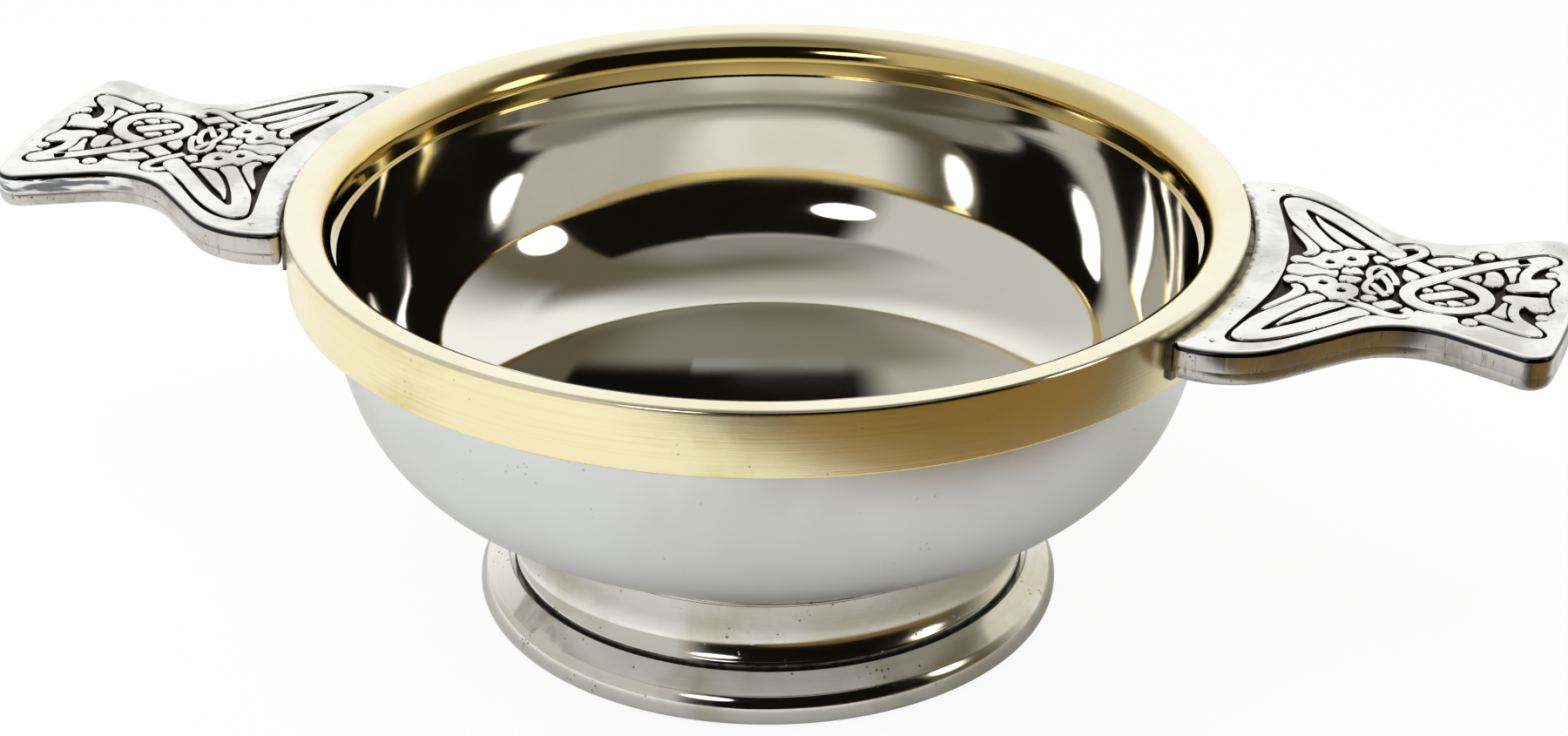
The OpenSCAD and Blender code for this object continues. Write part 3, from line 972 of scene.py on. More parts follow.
class Strapwork:
    """The sunk panel on a lug's top and the flush straps in it.

    Each outline is in the lug's own plane: the first number runs out from the bowl's axis, the second across.
    """

    HAIRPIN = ((63.0, 10.5), (61.0, 12.7), (59.0, 14.8), (57.0, 16.5), (55.2, 17.6), (53.7, 18.0),
               (52.8, 17.6), (52.6, 16.8), (53.0, 15.2), (53.9, 12.7), (55.1, 10.65), (56.45, 8.75),
               (57.7, 6.95), (58.6, 5.75), (59.2, 5.5), (60.2, 6.25), (58.9, 7.9), (57.6, 9.9),
               (56.4, 12.05), (55.5, 13.95), (55.1, 15.1), (55.3, 15.4), (55.7, 15.25), (56.7, 14.4),
               (58.2, 13.1), (60.0, 11.2), (61.8, 9.2))
    HAIRPIN_END_OVER = ((63.6, 7.25), (65.8, 5.2), (66.8, 6.6))
    HAIRPIN_END_UNDER = ((63.2, 7.75), (65.0, 8.65))
    WEDGE = ((56.45, 13.8), (57.5, 12.4), (59.0, 10.9), (60.5, 9.25), (62.0, 7.6), (62.4, 7.1),
             (61.5, 7.05), (60.4, 7.35), (59.3, 8.55), (58.2, 10.1), (57.2, 11.85))
    CURLED_END = ((54.5, 10.5), (55.5, 9.3), (56.9, 7.3), (57.8, 5.9), (58.0, 5.05), (57.65, 4.1),
                  (57.0, 3.7), (56.5, 3.95), (56.85, 4.65), (56.75, 5.5), (56.3, 6.65), (55.5, 8.15),
                  (54.8, 9.5))
    EYED_PLATE = ((55.5, 2.6), (55.8, 3.15), (56.3, 3.25), (56.9, 2.95), (57.5, 3.05), (58.0, 3.55),
                  (58.3, 4.25), (58.5, 4.85), (58.85, 4.9), (59.3, 4.7), (59.9, 5.15), (60.5, 5.75),
                  (60.8, 6.3), (61.5, 6.25), (62.3, 6.3), (63.2, 6.6), (63.7, 6.4), (63.6, 5.95),
                  (63.0, 5.65), (62.85, 5.25), (63.1, 4.75), (63.2, 4.05), (63.0, 2.95), (62.4, 2.4),
                  (61.8, 2.2), (61.2, 2.3), (60.9, 2.4), (60.8, 1.85), (60.4, 1.3), (59.6, 1.0),
                  (58.9, 1.15), (58.3, 1.5), (57.6, 1.95), (56.8, 1.8), (56.1, 1.7), (55.6, 2.05))
    EYES = ((59.5, 2.6), (61.55, 3.95))
    EYE_RADIUS = 0.58
    STALK_HALF = ((55.8, 0.95), (56.5, 1.15), (57.3, 1.35), (57.9, 1.2), (58.5, 0.85), (59.2, 0.55),
                  (60.0, 0.5), (60.5, 0.7))
    STALK_END = (55.5, 0.0)
    HEART = ((61.0, 0.4), (61.0, 1.35), (61.4, 1.75), (61.7, 1.25), (62.0, 1.85), (62.5, 1.8), (63.1, 0.95),
             (63.1, 0.5), (62.2, 0.3))
    HEART_EASE = 0.2
    KNOT = (((66.75, -1.2), (66.55, 0.0), (66.0, 1.3), (65.35, 2.45), (64.6, 2.8), (63.95, 2.4),
             (63.7, 1.4), (63.8, 0.5), (64.05, -0.4), (63.8, -1.5), (63.75, -2.6), (64.1, -3.4),
             (64.9, -3.9)),
            ((65.15, 1.9), (64.75, 0.9), (64.45, -0.1)),
            ((65.1, 0.6), (65.8, -0.6), (66.2, -1.8), (66.3, -2.9), (66.0, -3.3)),
            ((64.4, -1.5), (65.3, -2.9), (66.1, -4.1)))
    KNOT_WIDTH = 0.58
    HOOKS = (((65.7, 3.8), (66.7, 4.9), (67.8, 6.2), (68.45, 7.2), (68.4, 8.1), (67.7, 8.65), (66.8, 8.55),
              (66.1, 8.1)),
             ((62.4, -6.1), (63.4, -6.6), (64.6, -7.1), (65.8, -7.9), (66.9, -8.5), (68.0, -8.6),
              (68.75, -8.0), (68.7, -7.1), (68.1, -6.7)))
    HOOK_WIDTH = 0.9
    RING = ((72.0, 1.55), (73.9, 0.75), (75.3, -0.45), (76.0, -2.1), (75.7, -3.95), (74.3, -5.25),
            (72.2, -5.85), (70.1, -5.45), (68.6, -4.25), (68.0, -2.55), (68.4, -0.9), (69.5, 0.45),
            (70.6, 1.65), (71.9, 2.95), (73.5, 4.4), (75.2, 5.8), (77.1, 7.1), (79.2, 8.35))
    RING_WIDTH = 1.4
    PLATES = (((63.6, 4.95), (64.0, 5.45), (64.4, 5.35), (65.3, 4.65), (64.9, 3.95), (64.2, 3.75),
               (63.9, 4.35)),
              ((63.9, -4.45), (64.9, -4.45), (65.4, -5.05), (64.8, -5.7), (63.9, -5.6), (63.65, -5.05)),
              ((64.9, -6.2), (66.7, -4.9), (68.0, -6.0), (66.3, -7.3)),
              ((67.1, 4.0), (68.2, 5.2), (70.75, 3.4), (69.55, 2.15)),
              ((67.1, 2.8), (68.5, 1.95), (68.8, 1.3), (67.8, 0.1), (67.1, 1.1)),
              ((69.0, 5.6), (69.9, 6.45), (71.0, 6.95), (72.2, 7.0), (73.2, 6.75), (73.8, 6.3), (73.1, 5.7),
               (72.4, 5.3), (71.5, 5.2), (70.8, 4.85), (70.2, 4.6)),
              ((70.95, 4.25), (71.35, 4.7), (71.8, 4.65), (71.6, 4.15), (71.2, 3.95)),
              ((75.2, 4.2), (76.0, 4.85), (76.7, 4.25), (77.1, 3.05), (77.1, 1.85), (76.5, 1.15),
               (75.2, 1.45), (75.4, 2.85)),
              ((73.6, 2.65), (74.3, 3.45), (74.8, 3.25), (74.9, 2.25), (74.6, 1.75)),
              ((76.9, 5.75), (78.2, 6.5), (78.5, 6.15), (78.15, 5.05), (78.2, 3.45), (78.1, 2.75),
               (77.8, 2.85), (77.6, 3.85), (77.2, 5.0)),
              ((77.6, -2.6), (78.0, -2.5), (77.95, -3.4), (78.0, -4.8), (78.3, -6.0), (77.5, -5.75),
               (76.7, -5.35), (77.2, -4.2)),
              ((70.4, -0.75), (71.0, 0.05), (72.0, 0.15), (72.5, -0.45), (71.0, -1.25)),
              ((69.4, -1.75), (69.8, -1.05), (70.6, -1.55), (70.0, -2.15)),
              ((69.3, -2.95), (72.8, -0.85), (73.5, -1.05), (74.1, -1.85), (70.3, -4.05), (69.6, -3.75)),
              ((73.6, -3.05), (74.6, -2.35), (74.85, -2.85), (74.5, -3.65)),
              ((72.1, -3.65), (72.8, -3.35), (74.1, -3.95), (73.4, -4.55), (72.5, -4.55)),
              ((70.9, -4.35), (71.7, -4.1), (72.3, -4.5), (71.5, -4.75)))
    HEADS = (((78.0, 8.35), (79.0, 8.95), (80.2, 9.75), (81.2, 9.95), (81.95, 9.35), (82.0, 8.5),
              (81.4, 7.9), (80.8, 7.2), (80.15, 6.2), (79.75, 5.1), (79.8, 3.9), (80.6, 4.1), (81.4, 4.35),
              (82.05, 4.3), (82.3, 3.7), (82.1, 2.7), (81.8, 2.0), (81.65, 1.2), (80.7, 1.15), (79.8, 0.85),
              (78.8, 0.55), (77.9, 0.7), (77.55, 1.25), (77.7, 1.9), (78.3, 2.3), (78.75, 2.8),
              (78.65, 3.8), (78.7, 5.1), (79.0, 6.3), (79.4, 7.35), (78.4, 7.05)),
             ((75.2, -6.6), (76.3, -5.8), (77.5, -6.4), (78.6, -6.9), (79.25, -7.0), (78.8, -6.0),
              (78.4, -4.8), (78.35, -3.4), (78.5, -2.3), (77.7, -1.8), (77.45, -1.3), (77.7, -0.8),
              (78.4, -0.55), (79.5, -0.5), (81.0, -0.4), (81.7, -0.2), (81.9, -1.0), (82.1, -2.0),
              (82.4, -2.8), (82.0, -3.5), (81.0, -3.75), (80.4, -3.4), (79.9, -2.75), (79.4, -3.1),
              (79.3, -4.5), (79.8, -5.8), (80.7, -6.8), (81.6, -7.8), (82.0, -8.6), (81.9, -9.2),
              (81.2, -9.55), (80.2, -9.4), (78.5, -8.7), (77.0, -8.0), (75.9, -7.4)))
    DOTS = (((74.85, 8.35), 0.75), ((74.85, -7.95), 0.75), ((81.75, 5.55), 0.6), ((81.75, -4.95), 0.65))
    ROOT_MIDDLE = (55.15, 0.0)
    ROOT_SIDE = ((55.05, 2.5), (54.75, 5.5), (54.1, 8.6), (53.3, 11.6), (52.5, 14.6), (52.0, 16.6),
                 (51.95, 17.9), (52.5, 18.75), (53.7, 18.85), (55.5, 18.35), (57.4, 17.2), (59.4, 15.4),
                 (61.4, 13.2), (63.4, 11.0))
    OUTER_SIDE = ((65.3, 9.05), (66.0, 9.3), (66.9, 9.55), (67.9, 9.5), (68.8, 9.0), (69.25, 8.0),
                  (69.5, 7.25), (70.2, 7.3), (71.5, 7.65), (72.8, 7.5), (73.5, 7.3), (73.6, 8.2),
                  (73.9, 9.2), (74.8, 9.6), (75.7, 9.3), (76.1, 8.6), (76.7, 8.4), (78.0, 9.15),
                  (79.6, 10.1), (81.0, 10.6), (82.1, 10.2), (82.6, 9.3), (82.5, 8.3), (81.7, 7.4),
                  (81.4, 6.85), (81.9, 6.7), (82.4, 6.2), (82.45, 5.4), (82.4, 4.9), (82.75, 4.2),
                  (82.75, 3.1), (82.3, 1.9), (82.2, 0.6), (82.3, -1.0), (82.65, -2.2), (82.9, -3.0),
                  (82.6, -3.8), (82.3, -4.2), (82.45, -4.8), (82.35, -5.5), (81.7, -5.95), (81.2, -6.2),
                  (81.4, -6.8), (82.2, -7.8), (82.6, -8.8), (82.3, -9.7), (81.3, -10.1), (80.0, -9.95),
                  (78.2, -9.25), (76.4, -8.45), (75.9, -8.6), (75.2, -9.1), (74.3, -9.0), (73.7, -8.3),
                  (73.5, -7.4), (72.2, -7.1), (70.5, -6.95), (69.5, -6.8), (69.3, -7.4), (69.2, -8.3),
                  (68.6, -9.1), (67.6, -9.3), (66.4, -9.05), (65.2, -9.2))
    NICK = ((50.55, 19.0), (51.5, 19.15), (50.95, 19.75))
    NICK_EASE = 0.15

    @classmethod
    def opening(cls) -> list[Point]:
        """Outline of the sunk panel."""
        points = [cls.ROOT_MIDDLE, *cls.ROOT_SIDE, *cls.OUTER_SIDE, *reversed(mirrored(cls.ROOT_SIDE))]
        return spline(points, closed=True)

    @classmethod
    def plates(cls) -> list[list[list[Point]]]:
        """Outlines of all the flush plates and straps, each with its holes."""
        stalk = [*cls.STALK_HALF, *reversed(mirrored(cls.STALK_HALF)), cls.STALK_END]
        made = [[spline(stalk, closed=True)]]
        for flip, end in ((list, cls.HAIRPIN_END_OVER), (mirrored, cls.HAIRPIN_END_UNDER)):
            for outline in ((*cls.HAIRPIN, *end), cls.WEDGE, cls.CURLED_END):
                made.append([spline(flip(outline), closed=True)])
            made.append([eased(flip(cls.HEART), cls.HEART_EASE)])
            eyes = [disc(eye, cls.EYE_RADIUS) for eye in flip(cls.EYES)]
            made.append([spline(flip(cls.EYED_PLATE), closed=True), *eyes])
        made += [[strap(line, cls.KNOT_WIDTH)] for line in cls.KNOT]
        made += [[strap(line, cls.HOOK_WIDTH)] for line in cls.HOOKS]
        made += [[eased(outline)] for outline in cls.PLATES]
        made += [[spline(outline, closed=True)] for outline in cls.HEADS]
        made += [[disc(centre, radius)] for centre, radius in cls.DOTS]
        made.append([strap(cls.RING, cls.RING_WIDTH)])
        return made


class LugFace(IntEnum):
    """Material numbers of a lug's faces."""

    SIDE = 0
    EDGE = 1
    RELIEF = 2


@dataclass(frozen=True)
class CastLug:
    """A cast lug: a flared plate with rounded edges, a parting line round its side and a strapwork top."""

    root_gap: float = 0.43
    flank_radius: float = 10.0
    flank_at: float = -0.3
    root_round: float = 1.2
    waist_width: float = 21.2
    waist_radius: float = 8.6
    waist_at: float = 18.6
    tip_width: float = 29.2
    tip_round: float = 2.4
    tip_radius: float = 80.0
    top_round: float = 0.6
    foot_round: float = 1.2
    root_share: float = 0.35
    part_level: float = 0.42
    part_depth: float = 0.025
    part_width: float = 0.06
    ground: float = 0.55
    edge: float = 0.16
    draft: float = 0.05
    growth: float = 0.1
    seat: float = 0.05
    nick_depth: float = 0.35
    corner_steps: int = 12
    round_turns: tuple[float, ...] = (0, 22.5, 45, 67.5, 90)
    edge_turns: tuple[float, ...] = (0, 30, 60, 90)

    @property
    def root(self) -> float:
        """Radius of the root about the bowl's axis."""
        return box("brass_rim")[1].x + self.root_gap

    @property
    def tip(self) -> float:
        """Distance of the tip from the bowl's axis."""
        return box("lug_right")[1].x

    @property
    def half_root(self) -> float:
        """Half the width across the root."""
        return box("lug_right")[1].y

    @property
    def top(self) -> float:
        """Level of the top."""
        return box("lug_right")[1].z

    @property
    def bottom(self) -> float:
        """Level of the underside."""
        return box("lug_right")[0].z

    @staticmethod
    def cross_heading(a: Point, a_radius: float, b: Point, b_radius: float) -> float:
        """Heading of the line from circle a to circle b that has a on its right side and b on its left."""
        return heading(a, b) - math.degrees(math.asin((a_radius + b_radius) / gap(a, b)))

    @staticmethod
    def meeting(radius: float, centre: Point, centre_radius: float) -> Point:
        """Upper meeting point of a circle about the bowl's axis and a circle about a centre."""
        far = math.hypot(*centre)
        along = (far ** 2 + radius ** 2 - centre_radius ** 2) / (2 * far)
        across = math.sqrt(radius ** 2 - along ** 2)
        unit = (centre[0] / far, centre[1] / far)
        return along * unit[0] - across * unit[1], along * unit[1] + across * unit[0]

    def outline(self, inset: float) -> list[Point]:
        """The lug's outline, set in all round.

        Args:
            inset: Distance inside the true outline.

        Returns:
            The closed outline, clockwise seen from above.
        """
        root, corner = self.root + self.root_share * inset, self.root_round - inset
        flank = (self.root + self.flank_at, self.half_root - self.flank_radius)
        waist = (self.root + self.waist_at, self.waist_width / 2 + self.waist_radius)
        tip = (self.tip - self.tip_radius, 0.0)
        tip_y = self.tip_width / 2 - self.tip_round
        tip_corner = (tip[0] + math.sqrt((self.tip_radius - self.tip_round) ** 2 - tip_y ** 2), tip_y)
        root_corner = self.meeting(root + corner, flank, self.flank_radius - inset - corner)
        flank_from = heading(flank, root_corner)
        flank_to = self.cross_heading(flank, self.flank_radius, waist, self.waist_radius) + 90
        low_waist, low_corner = mirrored([waist, tip_corner])
        flare = 90 - self.cross_heading(low_waist, self.waist_radius, low_corner, self.tip_round)
        tip_from = heading(tip, tip_corner)
        n = self.corner_steps
        half = [*arc(root_corner, corner, heading((0.0, 0.0), root_corner) + 180, flank_from, n),
                *arc(flank, self.flank_radius - inset, flank_from, flank_to, n)[1:],
                *arc(waist, self.waist_radius + inset, flank_to + 180, flare + 180, n),
                *arc(tip_corner, self.tip_round - inset, flare, tip_from, n),
                *arc(tip, self.tip_radius - inset, tip_from, 0, n)[1:]]
        spread = heading((0.0, 0.0), half[0])
        return [*half, *reversed(mirrored(half[:-1])), *arc((0.0, 0.0), root, -spread, spread, 2 * n)[1:-1]]

    def edge_rings(self, bm: BMesh, outline: Sequence[Point], floor: float) -> list[list[BMEdge]]:
        """Loops of a rounded upper edge and the wall below it.

        Args:
            bm: The mesh.
            outline: The wall's outline, with the metal on its left.
            floor: Level of the wall's foot.

        Returns:
            The loops, from the top down.
        """
        rings = []
        for turn in self.edge_turns:
            a = math.radians(turn)
            inset = self.edge * (1 - math.sin(a)) - self.growth
            level = self.top - self.edge * (1 - math.cos(a))
            rings.append(closed_loop(bm, shifted(outline, inset), level))
        rings.append(closed_loop(bm, shifted(outline, -self.draft - self.growth), floor))
        bridged(bm, rings, LugFace.RELIEF)
        return rings

    def body(self, bm: BMesh) -> list[BMEdge]:
        """Makes the underside, the sides and the rounded upper edge.

        Args:
            bm: The mesh.

        Returns:
            The loop at the top, which the panel's border starts from.
        """
        turns = [math.radians(turn) for turn in self.round_turns]
        foot, brow = self.foot_round, self.top_round
        middle = self.bottom + self.part_level * (self.top - self.bottom)
        lower = [(foot * (1 - math.sin(a)), self.bottom + foot * (1 - math.cos(a))) for a in turns]
        seam = [(0.0, middle - self.part_width), (self.part_depth, middle), (0.0, middle + self.part_width)]
        upper = [(brow * (1 - math.cos(a)), self.top - brow * (1 - math.sin(a))) for a in turns]
        side_loops = [closed_loop(bm, self.outline(inset), z) for inset, z in [*lower, *seam, upper[0]]]
        bridged(bm, side_loops, LugFace.SIDE)
        filled(bm, side_loops[:1], LugFace.SIDE)
        edge_loops = [side_loops[-1], *(closed_loop(bm, self.outline(inset), z) for inset, z in upper[1:])]
        bridged(bm, edge_loops, LugFace.EDGE)
        return edge_loops[-1]

    def panel(self, bm: BMesh, border: list[BMEdge]) -> None:
        """Makes the flat border with its sunk panel and nicks, and the plates that stand in the panel.

        Args:
            bm: The mesh.
            border: The loop at which the flat border starts.
        """
        floor = self.top - self.ground
        opening = self.edge_rings(bm, wound(Strapwork.opening(), False), floor)
        filled(bm, opening[-1:], LugFace.RELIEF)
        nicks = []
        for outline in (Strapwork.NICK, mirrored(Strapwork.NICK)):
            nick = wound(eased(outline, Strapwork.NICK_EASE), False)
            rings = self.edge_rings(bm, nick, self.top - self.nick_depth)
            filled(bm, rings[-1:], LugFace.RELIEF)
            nicks.append(rings[0])
        filled(bm, [border, opening[0], *nicks], LugFace.RELIEF)
        for outlines in Strapwork.plates():
            walls = [self.edge_rings(bm, wound(outline, i == 0), floor - self.seat)
                     for i, outline in enumerate(outlines)]
            filled(bm, [wall[0] for wall in walls], LugFace.RELIEF)
            filled(bm, [wall[-1] for wall in walls], LugFace.RELIEF)

    def build(self, palette: Palette, side: Side) -> Object:
        """Makes one lug.

        Args:
            palette: The finishes.
            side: The side of the bowl that it sits on.

        Returns:
            The lug.
        """
        bm = bmesh.new()
        self.panel(bm, self.body(bm))
        bmesh.ops.recalc_face_normals(bm, faces=bm.faces)
        set_on(bm, side)
        name = f"lug_{side.value}"
        return finished(bm, f"{name}_cast", [palette.side, palette.border, palette.relief], name)


@dataclass(frozen=True)
class LugSolder:
    """The rough strip of solder between a lug and the band."""

    steps: int = 90
    rows: int = 8
    lump: float = 0.12
    lump_size: float = 1.1
    lump_shift: Triple = (7.0, 3.0, 5.0)

    def build(self, palette: Palette, side: Side) -> Object:
        """Spins the strip and roughens it.

        Args:
            palette: The finishes.
            side: The side of the bowl that it sits on.

        Returns:
            The strip.
        """
        low, high = box("lug_solder_right")
        band = box("brass_rim")[1].x
        half = math.asin(high.y / high.x)
        bm = bmesh.new()
        corners = [(band, low.z), (high.x, low.z), (high.x, high.z), (band, high.z)]
        face = bm.faces.new([bm.verts.new((r, 0.0, z)) for r, z in corners])
        bmesh.ops.subdivide_edges(bm, edges=list(face.edges), cuts=self.rows - 1, use_grid_fill=True)
        bmesh.ops.rotate(bm, verts=bm.verts, matrix=Matrix.Rotation(-half, 3, "Z"))
        bmesh.ops.spin(bm, geom=[*bm.verts, *bm.edges, *bm.faces], axis=(0, 0, 1), cent=(0, 0, 0),
                       angle=2 * half, steps=self.steps)
        inner = [f for f in bm.faces if all(len(e.link_faces) > 2 for e in f.edges)]
        bmesh.ops.delete(bm, geom=inner, context="FACES")
        bmesh.ops.recalc_face_normals(bm, faces=bm.faces)
        for vert in bm.verts:
            lump = max(0.0, noise.noise(vert.co / self.lump_size))
            vert.co -= Vector((vert.co.x, vert.co.y, 0)).normalized() * self.lump * lump
            vert.co.z += self.lump * noise.noise(vert.co / self.lump_size + Vector(self.lump_shift))
        set_on(bm, side)
        name = f"lug_solder_{side.value}"
        return finished(bm, f"{name}_strip", [palette.solder], name)


# Studio


@dataclass(frozen=True)
class Lamp:
    """A soft lamp that looks at the bowl, placed by the angles at which the bowl sees it."""

    name: str
    azimuth: float
    elevation: float
    spread: tuple[float, float]
    glow: float
    distance: float = 0.9
    tint: Colour = (1.0, 1.0, 1.0)
    shown: bool = True

    def build(self, target: Vector, way: Vector) -> None:
        """Hangs the lamp.

        Args:
            target: The point that it looks at.
            way: Direction from there to the lamp.
        """
        data = bpy.data.lights.new(self.name, "AREA")
        data.shape = "ELLIPSE"
        data.size, data.size_y = (2 * self.distance * math.tan(math.radians(a) / 2) for a in self.spread)
        data.energy = self.glow * math.pi * (math.pi / 4) * data.size * data.size_y
        data.color = self.tint
        lamp = linked(self.name, data)
        lamp.visible_glossy = self.shown
        lamp.location = target + way * self.distance
        lamp.rotation_mode = "QUATERNION"
        lamp.rotation_quaternion = (-way).to_track_quat("-Z", "Y")


@dataclass(frozen=True)
class Studio:
    """A white table with white walls, a dark room on the camera's right, and the camera.

    Azimuths are seen from the bowl, in degrees, with 0 at the back of the picture and 90 on its right. Ranges
    of the walls are degrees from the middle of the dark room, or degrees of height for a head, a foot, the
    crown and the zenith, and each of them is where a tone eases in or out.
    """

    lens: float = 82.0
    sensor: float = 36.0
    clip: Range = (0.01, 50.0)
    distance: float = 379.49
    elevation: float = 23.515
    lug_turn: float = 16.2
    yaw: float = -0.26
    pitch: float = -2.7938
    roll: float = 0.0555
    floor_radius: float = 3.0
    floor_sides: int = 96
    front_edge: float = 0.083
    front_azimuth: float = 132.0
    paper: Colour = (0.92, 0.92, 0.915)
    camera_glow: float = 0.92
    gloss_glow: float = 0.05
    table_light: float = 1.3
    wall_tone: Colour = (1.08, 1.08, 1.06)
    left_start: Range = (47.0, 48.0)
    left_end: Range = (140.0, 178.0)
    left_tone: Colour = (0.66, 0.65, 0.615)
    dim_start: Range = (-101.0, -62.0)
    dim_end: Range = (0.0, 1.0)
    dim_tone: Colour = (0.15, 0.13, 0.085)
    zenith: Range = (56.0, 77.0)
    zenith_tone: Colour = (0.58, 0.565, 0.515)
    loft_reach: Range = (-0.2, 0.28)
    loft_foot: Range = (47.5, 53.5)
    loft_side: Range = (-45.0, -10.0)
    loft_tone: Colour = (0.32, 0.305, 0.265)
    crown: Range = (58.0, 78.0)
    crown_tone: Colour = (0.17, 0.152, 0.108)
    room_middle: float = 156.0
    room_start: Range = (-40.5, -37.5)
    room_end: Range = (48.0, 64.0)
    room_head: Range = (48.5, 52.5)
    room_tone: Colour = (0.007, 0.006, 0.004)
    ground_start: Range = (-66.0, -58.0)
    ground_end: Range = (14.0, 36.0)
    ground_head: Range = (-1.0, 3.0)
    ground_tone: Colour = (0.255, 0.162, 0.047)
    lamps: tuple[Lamp, ...] = (
        Lamp("lamp_right", azimuth=107.0, elevation=20.0, spread=(15.0, 22.0), glow=2.4),
        Lamp("lamp_left", azimuth=-156.0, elevation=28.0, spread=(18.0, 13.0), glow=3.0),
        Lamp("softbox_top", azimuth=-150.0, elevation=66.0, spread=(50.0, 50.0), glow=3.1, distance=0.48,
             tint=(0.94, 0.985, 1.07), shown=False))

    def way(self, azimuth: float, elevation: float = 0.0) -> Vector:
        """Direction from the bowl at an azimuth and an elevation."""
        turn, rise = math.radians(azimuth - self.lug_turn), math.radians(elevation)
        return Vector((math.sin(turn) * math.cos(rise), math.cos(turn) * math.cos(rise), math.sin(rise)))

    def floor(self) -> None:
        """Lays a wide white table that keeps a soft shadow and ends in front of the dark room."""
        bm = bmesh.new()
        bmesh.ops.create_circle(bm, cap_ends=True, segments=self.floor_sides, radius=self.floor_radius)
        out = self.way(self.front_azimuth)
        bmesh.ops.bisect_plane(bm, geom=[*bm.verts, *bm.edges, *bm.faces], plane_co=out * self.front_edge,
                               plane_no=out, clear_outer=True)
        mesh = bpy.data.meshes.new("table")
        bm.to_mesh(mesh)
        bm.free()
        material = bpy.data.materials.new("white_table")
        net = Net.cleared(material)
        path, seen = net.rays()
        shine = net.math("MULTIPLY", path.outputs["Is Glossy Ray"], self.gloss_glow)
        share = net.math("MAXIMUM", net.math("MULTIPLY", seen, self.camera_glow), shine)
        paper = net.add("ShaderNodeBsdfDiffuse", {"Color": (*self.paper, 1)})
        glow = net.add("ShaderNodeEmission", {"Color": (1, 1, 1, 1), "Strength": 1.0})
        mix = net.add("ShaderNodeMixShader", {0: share, 1: paper.outputs[0], 2: glow.outputs[0]})
        net.add("ShaderNodeOutputMaterial", {0: mix.outputs[0]})
        mesh.materials.append(material)
        linked("table", mesh)

    def walls(self, net: Net) -> NodeSocket:
        """Tones of the walls, the ceiling and the dark room.

        Args:
            net: The world's net.

        Returns:
            The colour that lies in each direction.
        """
        way = net.add("ShaderNodeTexCoord").outputs["Generated"]
        turn = math.radians(self.room_middle - self.lug_turn)
        faced = net.add("ShaderNodeVectorRotate", {"Vector": way, "Angle": turn}, rotation_type="Z_AXIS")
        xyz = net.add("ShaderNodeSeparateXYZ", {0: faced.outputs[0]})
        aside = net.math("DEGREES", net.math("ARCTAN2", xyz.outputs[0], xyz.outputs[1]))
        rise = net.math("DEGREES", net.math("ARCSINE", xyz.outputs[2]))
        tone = net.mixed(net.between(aside, self.left_start, self.left_end), self.wall_tone, self.left_tone)
        tone = net.mixed(net.between(aside, self.dim_start, self.dim_end), tone, self.dim_tone)
        tone = net.mixed(net.ranged(rise, *self.zenith), tone, self.zenith_tone)
        reach = net.ranged(xyz.outputs[1], *self.loft_reach)
        loft = net.math("MULTIPLY", reach, net.ranged(rise, *self.loft_foot))
        shade = net.mixed(net.ranged(aside, *self.loft_side), self.dim_tone, self.loft_tone)
        shade = net.mixed(net.ranged(rise, *self.crown), shade, self.crown_tone)
        tone = net.mixed(loft, tone, shade)
        openings = ((self.room_start, self.room_end, self.room_head, self.room_tone),
                    (self.ground_start, self.ground_end, self.ground_head, self.ground_tone))
        for start, end, head, dark in openings:
            inside = net.between(aside, start, end)
            tone = net.mixed(net.math("MULTIPLY", inside, net.ranged(rise, *head, 1, 0)), tone, dark)
        return tone

    def world(self) -> None:
        """Surrounds the table with its walls, ceiling and dark room, and shows plain white to the camera."""
        world = bpy.data.worlds.new("studio")
        bpy.context.scene.world = world
        net = Net.cleared(world)
        path, seen = net.rays()
        lit = net.add("ShaderNodeMapRange", {"Value": path.outputs["Is Diffuse Ray"], "To Min": 1.0,
                                             "To Max": self.table_light}).outputs[0]
        studio = net.add("ShaderNodeBackground", {"Color": self.walls(net), "Strength": lit})
        white = net.add("ShaderNodeBackground", {"Color": (1, 1, 1, 1)})
        mix = net.add("ShaderNodeMixShader", {0: seen, 1: studio.outputs[0], 2: white.outputs[0]})
        net.add("ShaderNodeOutputWorld", {0: mix.outputs[0]})

    def camera(self, target: Vector) -> None:
        """Sets the camera at the fitted view of the rim's middle.

        Args:
            target: The middle of the rim's top.
        """
        data = bpy.data.cameras.new("camera")
        data.lens = self.lens
        data.sensor_width = self.sensor
        data.sensor_fit = "HORIZONTAL"
        data.clip_start, data.clip_end = self.clip
        back, right = self.way(180, self.elevation), self.way(90)
        forward = -back
        up = right.cross(forward)
        forward, right = (Quaternion(up, math.radians(self.yaw)) @ v for v in (forward, right))
        forward, up = (Quaternion(right, math.radians(self.pitch)) @ v for v in (forward, up))
        right, up = (Quaternion(forward, math.radians(self.roll)) @ v for v in (right, up))
        camera = linked("camera", data)
        place = target + back * self.distance * MM
        camera.matrix_world = Matrix.Translation(place) @ Matrix((right, up, -forward)).transposed().to_4x4()
        bpy.context.scene.camera = camera

    def build(self, target: Vector) -> None:
        """Makes the table, the surroundings, the lamps and the camera.

        Args:
            target: The middle of the rim's top.
        """
        self.floor()
        self.world()
        for lamp in self.lamps:
            lamp.build(target, self.way(lamp.azimuth, lamp.elevation))
        self.camera(target)
        bpy.context.scene.view_settings.view_transform = "Standard"


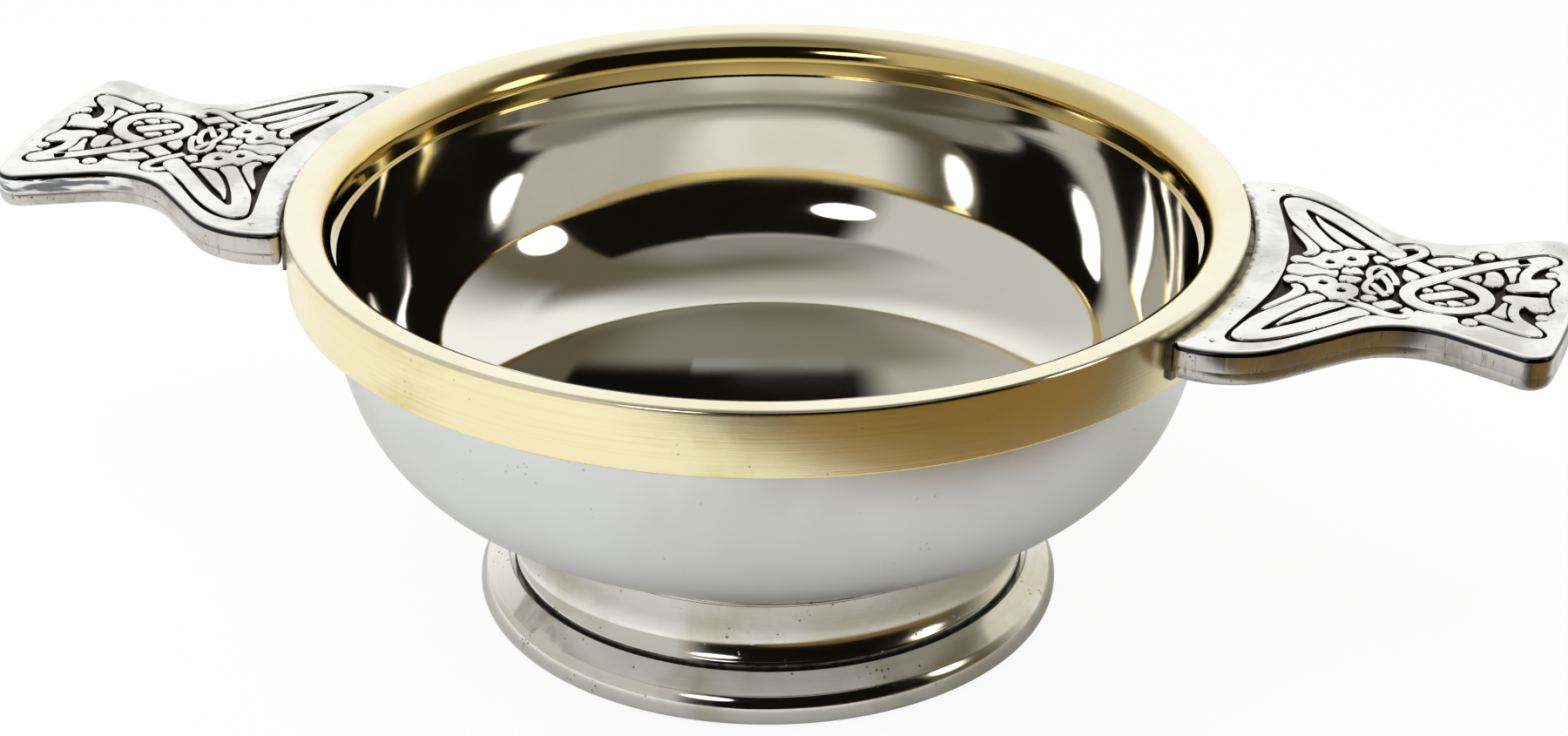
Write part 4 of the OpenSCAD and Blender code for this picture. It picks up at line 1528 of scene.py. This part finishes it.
def main() -> None:
    """Builds the pieces in order and reports each one."""
    logging.basicConfig(level=logging.INFO, format="%(name)s: %(message)s")
    rim_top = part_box("brass_rim")[1].z
    Studio().build(Vector((0, 0, rim_top)))
    lug, rim, bowl = CastLug(), FoldedRim(), SpunBowl()
    palette = Palette(rim_top / MM, lug.top, lug.root)
    pieces = [rim.build(palette), bowl.build(palette, rim), *Foot().build(palette, bowl, rim)]
    for side in Side:
        pieces += [lug.build(palette, side), LugSolder().build(palette, side)]
    for piece in pieces:
        log.info("%s: %d faces", piece.name, len(piece.data.polygons))


if __name__ == "__main__":
    main()
